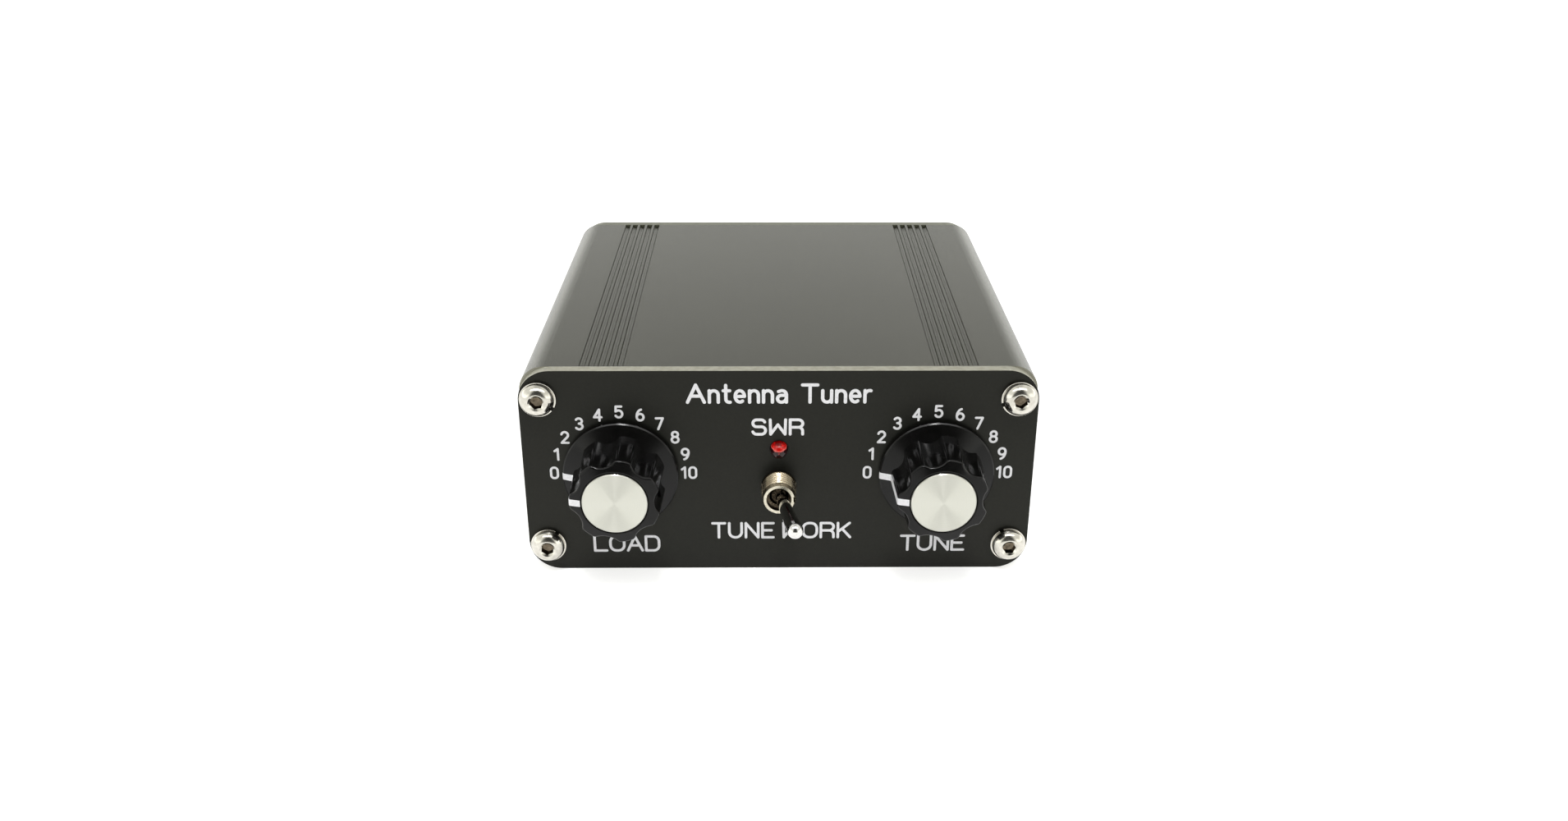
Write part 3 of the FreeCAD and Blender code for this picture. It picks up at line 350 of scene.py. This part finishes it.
def clear_cover():
    """Clear acrylic with a faint haze."""
    s = Shading("clear_cover")
    haze = s.noise(0.4, detail=2.0)
    s.colour(s.ramp(haze, [(0.3, (0.80, 0.82, 0.82)), (0.7, (0.92, 0.93, 0.93))]))
    s.roughness(s.spread(haze, 0.06, 0.15))
    s.set(Transmission_Weight=0.9, IOR=1.49)
    return s.material


def green_board():
    """Solder mask over the weave of a glass-epoxy board."""
    s = Shading("green_board")
    weave = s.noise(1.4, detail=2.0, stretch=(1, 1, 4))
    s.colour(s.ramp(weave, [(0.3, (0.010, 0.100, 0.035)), (0.7, (0.018, 0.150, 0.055))]))
    s.roughness(s.spread(weave, 0.25, 0.4))
    s.bump(weave, 0.08, 0.03)
    return s.material


def ink_white():
    """Screen-printed white ink, slightly uneven."""
    s = Shading("ink_white")
    film = s.noise(3.0, detail=4.0)
    s.colour(s.ramp(film, [(0.3, (0.535, 0.535, 0.555)), (0.7, (0.64, 0.64, 0.66))]))
    s.roughness(s.spread(film, 0.45, 0.6))
    s.bump(film, 0.1, 0.01)
    return s.material


MATERIAL_MAKERS = {
    "anodised_case": anodised_case,
    "black_panel": black_panel,
    "screw_steel": screw_steel,
    "knob_phenolic": knob_phenolic,
    "spun_aluminium": spun_aluminium,
    "brass": metal("brass", (0.80, 0.60, 0.28), (0.70, 0.50, 0.22)),
    "zinc_steel": metal("zinc_steel", (0.60, 0.61, 0.63), (0.46, 0.47, 0.50), (0.25, 0.4)),
    "white_moulding": moulded("white_moulding", (0.80, 0.79, 0.75), (0.72, 0.71, 0.66)),
    "clear_cover": clear_cover,
    "capacitor_plates": metal("capacitor_plates", (0.7, 0.7, 0.7), (0.6, 0.6, 0.6), (0.3, 0.45)),
    "nickel": nickel,
    "lever_chrome": metal("lever_chrome", (0.70, 0.69, 0.68), (0.60, 0.59, 0.58), (0.04, 0.10)),
    "black_moulding": moulded("black_moulding", (0.030, 0.030, 0.030), (0.018, 0.018, 0.018)),
    "gold_contacts": metal("gold_contacts", (0.90, 0.66, 0.28), (0.80, 0.56, 0.20), (0.15, 0.25)),
    "lamp_red": lamp_red,
    "tinned_wire": metal("tinned_wire", (0.7, 0.7, 0.69), (0.55, 0.55, 0.54), (0.25, 0.4)),
    "green_board": green_board,
    "coil_core_red": moulded("coil_core_red", (0.50, 0.06, 0.04), (0.38, 0.04, 0.03)),
    "enamelled_copper": metal("enamelled_copper", (0.72, 0.30, 0.12), (0.55, 0.20, 0.08)),
    "ferrite": moulded("ferrite", (0.085, 0.085, 0.09), (0.05, 0.05, 0.055), (0.5, 0.7)),
    "resistor_body": moulded("resistor_body", (0.40, 0.46, 0.48), (0.32, 0.37, 0.40)),
    "diode_glass": moulded("diode_glass", (0.55, 0.22, 0.09), (0.42, 0.16, 0.06), (0.08, 0.15)),
    "ceramic_disc": moulded("ceramic_disc", (0.62, 0.38, 0.15), (0.50, 0.29, 0.10)),
}
MATERIALS = {slot: make() for slot, make in MATERIAL_MAKERS.items()}
INK = ink_white()

for node, thing in NODES.items():
    thing.data.materials.clear()
    thing.data.materials.append(MATERIALS[SLOT_OF[node]])


# ---------------------------------------------------------------- stroke lettering

def line(*points):
    return [Vector(p) for p in points]


def arc(cx, cy, rx, ry, start, end, steps=14):
    """Elliptical arc between two angles in degrees, anticlockwise when end is larger."""
    angles = [radians(start + (end - start) * k / steps) for k in range(steps + 1)]
    return [Vector((cx + rx * cos(a), cy + ry * sin(a))) for a in angles]


def rounded(width, bottom=0.0, top=1.0, corner=0.3):
    """A closed rounded rectangle, anticlockwise from the middle of its right side."""
    r = corner
    path = arc(width - r, top - r, r, r, 0, 90, 5) + arc(r, top - r, r, r, 90, 180, 5)
    path += arc(r, bottom + r, r, r, 180, 270, 5) + arc(width - r, bottom + r, r, r, 270, 360, 5)
    return path + path[:1]


# Each glyph is (width, strokes) in units of its own height, standing on 0.
GLYPHS = {
    "A": (0.95, [line((0, 0), (0.475, 1)), line((0.475, 1), (0.95, 0)),
                 line((0.19, 0.36), (0.76, 0.36))]),
    "D": (0.85, [line((0.5, 0), (0, 0)), line((0, 0), (0, 1)), line((0, 1), (0.5, 1)),
                 arc(0.5, 0.65, 0.35, 0.35, 90, 0) + arc(0.5, 0.35, 0.35, 0.35, 0, -90)]),
    "E": (0.75, [line((0.75, 0), (0, 0)), line((0, 0), (0, 1)), line((0, 1), (0.75, 1)),
                 line((0, 0.5), (0.62, 0.5))]),
    "I": (0.0, [line((0, 0), (0, 1))]),
    "K": (0.80, [line((0, 0), (0, 1)), line((0, 0.38), (0.76, 1)), line((0.27, 0.60), (0.80, 0))]),
    "L": (0.78, [line((0, 1), (0, 0)), line((0, 0), (0.78, 0))]),
    "N": (0.85, [line((0, 0), (0, 1)), line((0, 1), (0.85, 0)), line((0.85, 0), (0.85, 1))]),
    "O": (0.90, [rounded(0.90, corner=0.38)]),
    "R": (0.85, [line((0, 0), (0, 1)), line((0, 1), (0.55, 1)),
                 arc(0.55, 0.74, 0.28, 0.26, 90, -90), line((0.55, 0.48), (0, 0.48)),
                 arc(0.55, 0.20, 0.28, 0.28, 90, 0, 6) + line((0.83, 0))]),
    "S": (0.86, [arc(0.56, 0.76, 0.26, 0.24, 20, 90, 8) + arc(0.27, 0.76, 0.25, 0.24, 90, 270)
                 + arc(0.58, 0.26, 0.28, 0.26, 90, -90)
                 + arc(0.27, 0.26, 0.27, 0.26, 270, 200, 8)]),
    "T": (0.85, [line((0, 1), (0.85, 1)), line((0.425, 1), (0.425, 0))]),
    "U": (0.85, [line((0, 1), (0, 0.42)) + arc(0.425, 0.36, 0.425, 0.36, 180, 360)
                 + line((0.85, 1))]),
    "W": (1.02, [line((0, 1), (0.03, 0)), line((0.03, 0), (0.51, 0.66)),
                 line((0.51, 0.66), (0.99, 0)), line((0.99, 0), (1.02, 1))]),
    "a": (0.50, [line((0.06, 0.62)) + arc(0.25, 0.42, 0.25, 0.25, 100, 0) + line((0.50, 0)),
                 line((0.50, 0.40), (0.22, 0.40)) + arc(0.22, 0.20, 0.22, 0.20, 90, 270)
                 + arc(0.22, 0.28, 0.28, 0.28, 270, 360)]),
    "e": (0.52, [line((0, 0.34), (0.52, 0.34)), arc(0.26, 0.34, 0.26, 0.33, 0, 305, 24)]),
    "n": (0.50, [line((0, 0), (0, 0.67)), arc(0.25, 0.42, 0.25, 0.25, 180, 0) + line((0.50, 0))]),
    "r": (0.32, [line((0, 0), (0, 0.67)), arc(0.26, 0.41, 0.26, 0.26, 180, 75, 8)]),
    "t": (0.38, [line((0.14, 0.98)) + arc(0.32, 0.18, 0.18, 0.18, 180, 270, 8) + line((0.38, 0)),
                 line((0, 0.67), (0.36, 0.67))]),
    "u": (0.50, [line((0, 0.67)) + arc(0.25, 0.25, 0.25, 0.25, 180, 360),
                 line((0.50, 0.67), (0.50, 0))]),
    "0": (0.60, [rounded(0.60, corner=0.28)]),
    "1": (0.28, [line((0, 0.80), (0.28, 1)), line((0.28, 1), (0.28, 0))]),
    "2": (0.60, [arc(0.30, 0.72, 0.29, 0.28, 165, -40, 16) + line((0, 0)),
                 line((0, 0), (0.60, 0))]),
    "3": (0.60, [arc(0.29, 0.76, 0.27, 0.24, 150, -90, 18),
                 arc(0.29, 0.26, 0.30, 0.26, 90, -150, 18)]),
    "4": (0.64, [line((0.46, 0), (0.46, 1)), line((0.46, 1), (0, 0.30)),
                 line((0, 0.30), (0.64, 0.30))]),
    "5": (0.60, [line((0.54, 1), (0.06, 1)), line((0.06, 1), (0.03, 0.55)),
                 line((0.03, 0.55)) + arc(0.29, 0.32, 0.31, 0.32, 120, -150, 18)]),
    "6": (0.60, [arc(0.30, 0.30, 0.30, 0.30, 0, 360, 24),
                 arc(0.48, 0.34, 0.48, 0.66, 180, 100, 8)]),
    "7": (0.60, [line((0, 1), (0.60, 1)), line((0.60, 1), (0.18, 0))]),
    "8": (0.60, [arc(0.30, 0.76, 0.26, 0.24, 0, 360, 22), arc(0.30, 0.27, 0.30, 0.27, 0, 360, 22)]),
    "9": (0.60, [arc(0.30, 0.70, 0.30, 0.30, 0, 360, 24),
                 arc(0.12, 0.66, 0.48, 0.66, 0, -80, 8)]),
}
SPACE_WIDTH = 0.62  # between two words, in letter heights
CAP_SIDES = 10
SHORTEST_RUN = 0.02  # in stroke widths: shorter steps of a path are skipped
SHARPEST_MITRE = 0.5
CLOSED = 1e-9


def ribbon(path, width):
    """Polygons that cover a stroke: a quad for each run and a round cap at each open end."""
    half = width / 2
    path = path[:1] + [b for a, b in zip(path, path[1:]) if (b - a).length > SHORTEST_RUN * width]
    runs = [(b - a).normalized() for a, b in zip(path, path[1:])]
    closed = (path[0] - path[-1]).length < CLOSED
    offsets = []
    for k in range(len(path)):
        before = runs[k - 1] if k or closed else runs[0]
        after = runs[k] if k < len(runs) else (runs[0] if closed else runs[-1])
        along = (before + after).normalized()
        across = Vector((-along.y, along.x))
        offsets.append(across * half / max(SHARPEST_MITRE, along.dot(after)))
    shapes = []
    for k in range(len(runs)):
        shapes.append([path[k] + offsets[k], path[k] - offsets[k],
                       path[k + 1] - offsets[k + 1], path[k + 1] + offsets[k + 1]])
    if not closed:
        for point, outward in ((path[0], -runs[0]), (path[-1], runs[-1])):
            first = atan2(outward.y, outward.x) - pi / 2
            angles = [first + pi * k / CAP_SIDES for k in range(CAP_SIDES + 1)]
            shapes.append([point + half * Vector((cos(angle), sin(angle))) for angle in angles])
    return shapes


def text_strokes(words, height, gap, squeeze):
    """The strokes of one line of text, centred on 0, 0."""
    strokes, x = [], 0.0
    for letter in words:
        if letter == " ":
            x += SPACE_WIDTH * height * squeeze
            continue
        width, paths = GLYPHS[letter]
        strokes += [[Vector((x + p.x * height * squeeze, (p.y - 0.5) * height)) for p in path]
                    for path in paths]
        x += width * height * squeeze + gap
    half = Vector(((x - gap) / 2, 0))
    return [[p - half for p in path] for path in strokes]


INK_FILM = 0.03 * MM
MICRON = 0.001 * MM
UNION_MODE = 0  # delaunay_2d_cdt: triangles over the whole hull, each with the shapes it lies in
UNION_TOLERANCE = 0.01  # microns


def printed(name, strokes, width, centre, facing=-1):
    """A thin film of ink on a panel: the union of the strokes, standing just off its face.

    centre is a point on the face; facing is -1 on the front face and 1 on the rear one. Corners are
    rounded to whole microns, so that strokes that share an edge share it exactly.
    """
    shapes = [shape for path in strokes for shape in ribbon(path, width)]
    corners = [corner for shape in shapes for corner in shape]
    faces, start = [], 0
    for shape in shapes:
        faces.append(list(range(start, start + len(shape))))
        start += len(shape)
    microns = [Vector((round(c.x / MICRON), round(c.y / MICRON))) for c in corners]
    points, _, triangles, _, _, sources = delaunay_2d_cdt(
        microns, [], faces, UNION_MODE, UNION_TOLERANCE)
    covered = [triangle for triangle, shapes_over in zip(triangles, sources) if shapes_over]
    mesh = bmesh.new()
    verts = [mesh.verts.new((centre.x - facing * p.x * MICRON, centre.y, centre.z + p.y * MICRON))
             for p in points]
    for face in covered:
        mesh.faces.new([verts[k] for k in face])
    loose = [v for v in mesh.verts if not v.link_faces]
    bmesh.ops.delete(mesh, geom=loose, context="VERTS")
    base = mesh.faces[:]
    raised = bmesh.ops.extrude_face_region(mesh, geom=base)
    top = [item for item in raised["geom"] if isinstance(item, bmesh.types.BMVert)]
    bmesh.ops.translate(mesh, verts=top, vec=(0, facing * INK_FILM, 0))
    bmesh.ops.recalc_face_normals(mesh, faces=mesh.faces[:])
    return piece_from(mesh, name, INK)


def piece_from(mesh, name, material):
    """A flat-shaded object of one material from a bmesh, which is freed."""
    data = bpy.data.meshes.new(name)
    mesh.to_mesh(data)
    mesh.free()
    thing = bpy.data.objects.new(name, data)
    bpy.context.scene.collection.objects.link(thing)
    data.materials.append(material)
    return thing


def label(name, words, height, stroke, gap, x, z, squeeze=1.0, y=FRONT_Y, facing=-1):
    """One line of text about x, z; height is over the letters' ink and gap is between letters."""
    strokes = text_strokes(words, height - stroke, gap, squeeze)
    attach(printed(name, strokes, stroke, Vector((x, y, z)), facing), "case")


DIAL_SPREAD = 0.997  # the printed dials sit a little nearer the middle than the knobs
DIAL_ACROSS = {"load": 11.6 * MM, "tune": 11.85 * MM}
DIAL_OVER = 11.5 * MM
DIAL_STEP = 18  # degrees from one numeral to the next
NUMERALS = range(11)
NUMERAL_HEIGHT = 2.42 * MM
NUMERAL_STROKE = 0.40 * MM
NUMERAL_GAP = 0.75 * MM
SQUEEZE = 0.95  # the letters' width against their drawn proportions


def dial(name, axis, across):
    """Numerals 0 to 10, upright, over the upper half turn about a knob's axis."""
    strokes = []
    for value in NUMERALS:
        angle = radians(180 - DIAL_STEP * value)
        digits = text_strokes(str(value), NUMERAL_HEIGHT - NUMERAL_STROKE, NUMERAL_GAP, SQUEEZE)
        shift = Vector((across * cos(angle), DIAL_OVER * sin(angle)))
        strokes += [[p + shift for p in path] for path in digits]
    centre = Vector((axis.x * DIAL_SPREAD, FRONT_Y, PANEL_MIDDLE))
    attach(printed(name, strokes, NUMERAL_STROKE, centre), "case")


WORD_HEIGHT = 3.3 * MM
WORD_STROKE = 0.47 * MM
SWITCH_ROW = 7.6 * MM  # heights of the words' middles over the underside
KNOB_ROW = 5.0 * MM
SOCKET_ROW = 31.5 * MM
LOAD_SHIFT = 0.35 * MM

label("panel_title", "Antenna Tuner", 3.72 * MM, 0.57 * MM, 0.86 * MM, 0, 33.85 * MM, SQUEEZE)
label("lamp_label", "SWR", 3.2 * MM, 0.50 * MM, 0.79 * MM, -0.2 * MM, 27.65 * MM, SQUEEZE)
label("switch_label_left", "TUNE", WORD_HEIGHT, WORD_STROKE, 0.76 * MM,
      -6.3 * MM, SWITCH_ROW, 0.90)
label("switch_label_right", "WORK", WORD_HEIGHT, WORD_STROKE, 0.72 * MM,
      6.7 * MM, SWITCH_ROW, SQUEEZE)
label("load_label", "LOAD", WORD_HEIGHT, WORD_STROKE, 0.66 * MM,
      KNOB_AXES["load"].x + LOAD_SHIFT, KNOB_ROW, SQUEEZE)
label("tune_label", "TUNE", WORD_HEIGHT, WORD_STROKE, 0.72 * MM,
      KNOB_AXES["tune"].x, KNOB_ROW, SQUEEZE)
for knob, axis in KNOB_AXES.items():
    dial(knob + "_dial", axis, DIAL_ACROSS[knob])
for socket, words in (("radio", "RADIO"), ("antenna", "ANTENNA")):
    barrel = centre_of(socket + "_socket_barrel")
    label(socket + "_label", words, 2.9 * MM, 0.40 * MM, 0.78 * MM, barrel.x, SOCKET_ROW,
          y=REAR_Y, facing=1)


# ---------------------------------------------------------------- pointer lines on the knobs

POINTER_HALF_WIDTH = 0.58 * MM
POINTER_COLUMNS = 7
POINTER_PROUD = 0.04 * MM
SKIRT_EDGE = (0.45, 0.68)  # mm in front of the knob's back, looking in from the side
SKIRT_FACE = (9.72, 9.0, 8.1)  # mm from the knob's axis, looking in from the front
GRIP_FLANK = (1.75, 3.5, 5.5, 7.5, 9.8)  # as SKIRT_EDGE
GRIP_FACE = (7.60, 7.52, 7.40, 7.2, 6.6, 6.0, 5.7)  # as SKIRT_FACE


def pointer(knob):
    """A white line set in the knob: over the skirt, up the grip and across its face to the cap."""
    body = NODES[knob + "_knob_body"].data
    surface = BVHTree.FromPolygons([v.co for v in body.vertices],
                                   [p.vertices for p in body.polygons])
    low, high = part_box(knob + "_knob_body")
    middle = KNOB_AXES[knob]

    def from_side(height, z):
        return surface.ray_cast(Vector((low.x - MM, high.y - height * MM, z)), Vector((1, 0, 0)))

    def from_front(reach, z):
        return surface.ray_cast(Vector((middle.x - reach * MM, low.y - MM, z)), Vector((0, 1, 0)))

    looks = [(look, at) for look, places in ((from_side, SKIRT_EDGE), (from_front, SKIRT_FACE),
                                             (from_side, GRIP_FLANK), (from_front, GRIP_FACE))
             for at in places]
    mesh = bmesh.new()
    rows = []
    for look, at in looks:
        row = []
        for k in range(POINTER_COLUMNS):
            z = middle.z + POINTER_HALF_WIDTH * (2 * k / (POINTER_COLUMNS - 1) - 1)
            place, normal, _, _ = look(at, z)
            row.append([mesh.verts.new(place + normal * lift)
                        for lift in (POINTER_PROUD, -POINTER_PROUD)])
        rows.append(row)
    for near, far in zip(rows, rows[1:]):
        for a, b, c, d in zip(near, near[1:], far[1:], far):
            mesh.faces.new((a[0], b[0], c[0], d[0]))
            mesh.faces.new((d[1], c[1], b[1], a[1]))
        for a, b in ((far[0], near[0]), (near[-1], far[-1])):
            mesh.faces.new((a[0], b[0], b[1], a[1]))
    for row in (rows[0][::-1], rows[-1]):
        for a, b in zip(row, row[1:]):
            mesh.faces.new((a[0], b[0], b[1], a[1]))
    bmesh.ops.recalc_face_normals(mesh, faces=mesh.faces[:])
    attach(piece_from(mesh, knob + "_pointer_line", INK), knob + "_control")


for knob in KNOB_AXES:
    pointer(knob)


# ---------------------------------------------------------------- floor, light and camera

HORIZON_LEVEL = 1.4
ZENITH_LEVEL = 0.76
CLIMB = (0.10, 0.45)  # the direction's z over which the level goes from horizon to zenith
SIDE_GAIN = 1.5
SIDEWARDS = (0.10, 0.45)  # the direction's x over which the side gain comes in
ROOM_SHARE = 0.08  # what is left of the light in the open front
ROOM_EDGE = (0.1, 0.6)
ROOM_CORNER = 0.9
ROOM_CEILING = (0.75, 0.95)
BACKDROP_LEVEL = 1.1
SKY_TINT = (1.0, 1.0, 0.94, 1)

FLOOR_GLOW = 0.58
FLOOR_SIZE = 8.0
FLOOR_SQUARES = 8
FLOOR_GAP = 0.1 * MM

AREA_LIGHTS = (
    # name, place, aim, size, power in watts, spread in degrees
    ("strip", (0, -0.22, 0.42), (0, 0.02, 0), (0.70, 0.14), 0.35, 100),
    ("foot", (0, -0.20, 0.40), (0, -0.058, 0), (0.18, 0.03), 0.016, 16),
)


def floor():
    """White paper that glows a little, as the floor of a light tent does."""
    mesh = bmesh.new()
    bmesh.ops.create_grid(mesh, x_segments=FLOOR_SQUARES, y_segments=FLOOR_SQUARES, size=FLOOR_SIZE)
    s = Shading("floor_paper")
    fibre = s.noise(0.05, detail=4.0)
    s.colour(s.ramp(fibre, [(0.3, (0.68, 0.68, 0.68)), (0.7, (0.72, 0.72, 0.72))]))
    s.set(Roughness=0.9, Specular_IOR_Level=0.1)
    s.set(Emission_Color=(1, 1, 1, 1), Emission_Strength=FLOOR_GLOW)
    ground = piece_from(mesh, "floor", s.material)
    ground.location.z = cad_low.z - FLOOR_GAP


def area_light(name, place, aim, size, power, spread):
    """A rectangular light at one place, aimed at another; its spread is in degrees."""
    data = bpy.data.lights.new(name, "AREA")
    data.shape = "RECTANGLE"
    data.size, data.size_y = size
    data.energy = power
    data.spread = radians(spread)
    thing = bpy.data.objects.new(name, data)
    bpy.context.scene.collection.objects.link(thing)
    thing.location = place
    thing.rotation_mode = "QUATERNION"
    thing.rotation_quaternion = (Vector(aim) - Vector(place)).to_track_quat("-Z", "Y")


def studio():
    """A light tent, brightest at its horizon and sides, open at the front to a dark room.

    Seen directly it is an even white. Two area lights add to it: a wide strip over the front, and a
    narrow one that lights the floor before the panel.
    """
    world = bpy.data.worlds.new("studio")
    bpy.context.scene.world = world
    world.use_nodes = True
    tree = world.node_tree

    def add(kind, sources, **settings):
        node = tree.nodes.new(kind)
        for key, value in settings.items():
            setattr(node, key, value)
        for socket, source in zip(node.inputs, sources):
            if isinstance(source, (int, float)):
                socket.default_value = source
            else:
                tree.links.new(source, socket)
        return node.outputs

    def maths(operation, *sources):
        return add("ShaderNodeMath", sources, operation=operation)[0]

    def smooth(value, low, high, start, end):
        sources = (value, low, high, start, end)
        return add("ShaderNodeMapRange", sources, interpolation_type="SMOOTHSTEP")[0]

    direction = tree.nodes.new("ShaderNodeTexCoord").outputs["Generated"]
    x, y, z = add("ShaderNodeSeparateXYZ", (direction,))
    sideways = maths("ABSOLUTE", x)
    level = smooth(z, *CLIMB, HORIZON_LEVEL, ZENITH_LEVEL)
    level = maths("MULTIPLY", level, smooth(sideways, *SIDEWARDS, 1, SIDE_GAIN))
    corner = maths("MULTIPLY", sideways, ROOM_CORNER)
    forward = maths("SUBTRACT", maths("MULTIPLY", y, -1), corner)
    dark = maths("MULTIPLY", smooth(forward, *ROOM_EDGE, 0, 1), smooth(z, *ROOM_CEILING, 1, 0))
    lit = maths("SUBTRACT", 1, maths("MULTIPLY", dark, 1 - ROOM_SHARE))
    strength = maths("MULTIPLY", level, lit)
    seen = tree.nodes.new("ShaderNodeLightPath").outputs["Is Camera Ray"]
    strength = smooth(seen, 0, 1, strength, BACKDROP_LEVEL)
    tree.links.new(strength, tree.nodes["Background"].inputs["Strength"])
    tree.nodes["Background"].inputs["Color"].default_value = SKY_TINT
    for light in AREA_LIGHTS:
        area_light(*light)


SENSOR_WIDTH = 36.0
LENS = 30.85
CLIP_START = 0.01
CAMERA_X = -1.8 * MM
CAMERA_AWAY = 207.5 * MM  # in front of the panel
CAMERA_UP = 123.9 * MM
YAW, PITCH, ROLL = radians(-0.73), radians(24.18), radians(0.21)


def camera():
    """Looks down on the front at the distance that gives the case its perspective."""
    data = bpy.data.cameras.new("camera")
    data.sensor_width = SENSOR_WIDTH
    data.lens = LENS
    data.clip_start = CLIP_START
    thing = bpy.data.objects.new("camera", data)
    bpy.context.scene.collection.objects.link(thing)
    right = Vector((cos(YAW), sin(YAW), 0))
    ahead = Vector((-sin(YAW) * cos(PITCH), cos(YAW) * cos(PITCH), -sin(PITCH)))
    up = right.cross(ahead)
    across, over = cos(ROLL) * right + sin(ROLL) * up, cos(ROLL) * up - sin(ROLL) * right
    turn = Matrix((across, over, -ahead)).transposed()
    place = Matrix.Translation((CAMERA_X, FRONT_Y - CAMERA_AWAY, CAMERA_UP))
    thing.matrix_world = place @ turn.to_4x4()
    bpy.context.scene.camera = thing


floor()
studio()
camera()
bpy.context.scene.view_settings.view_transform = "Standard"
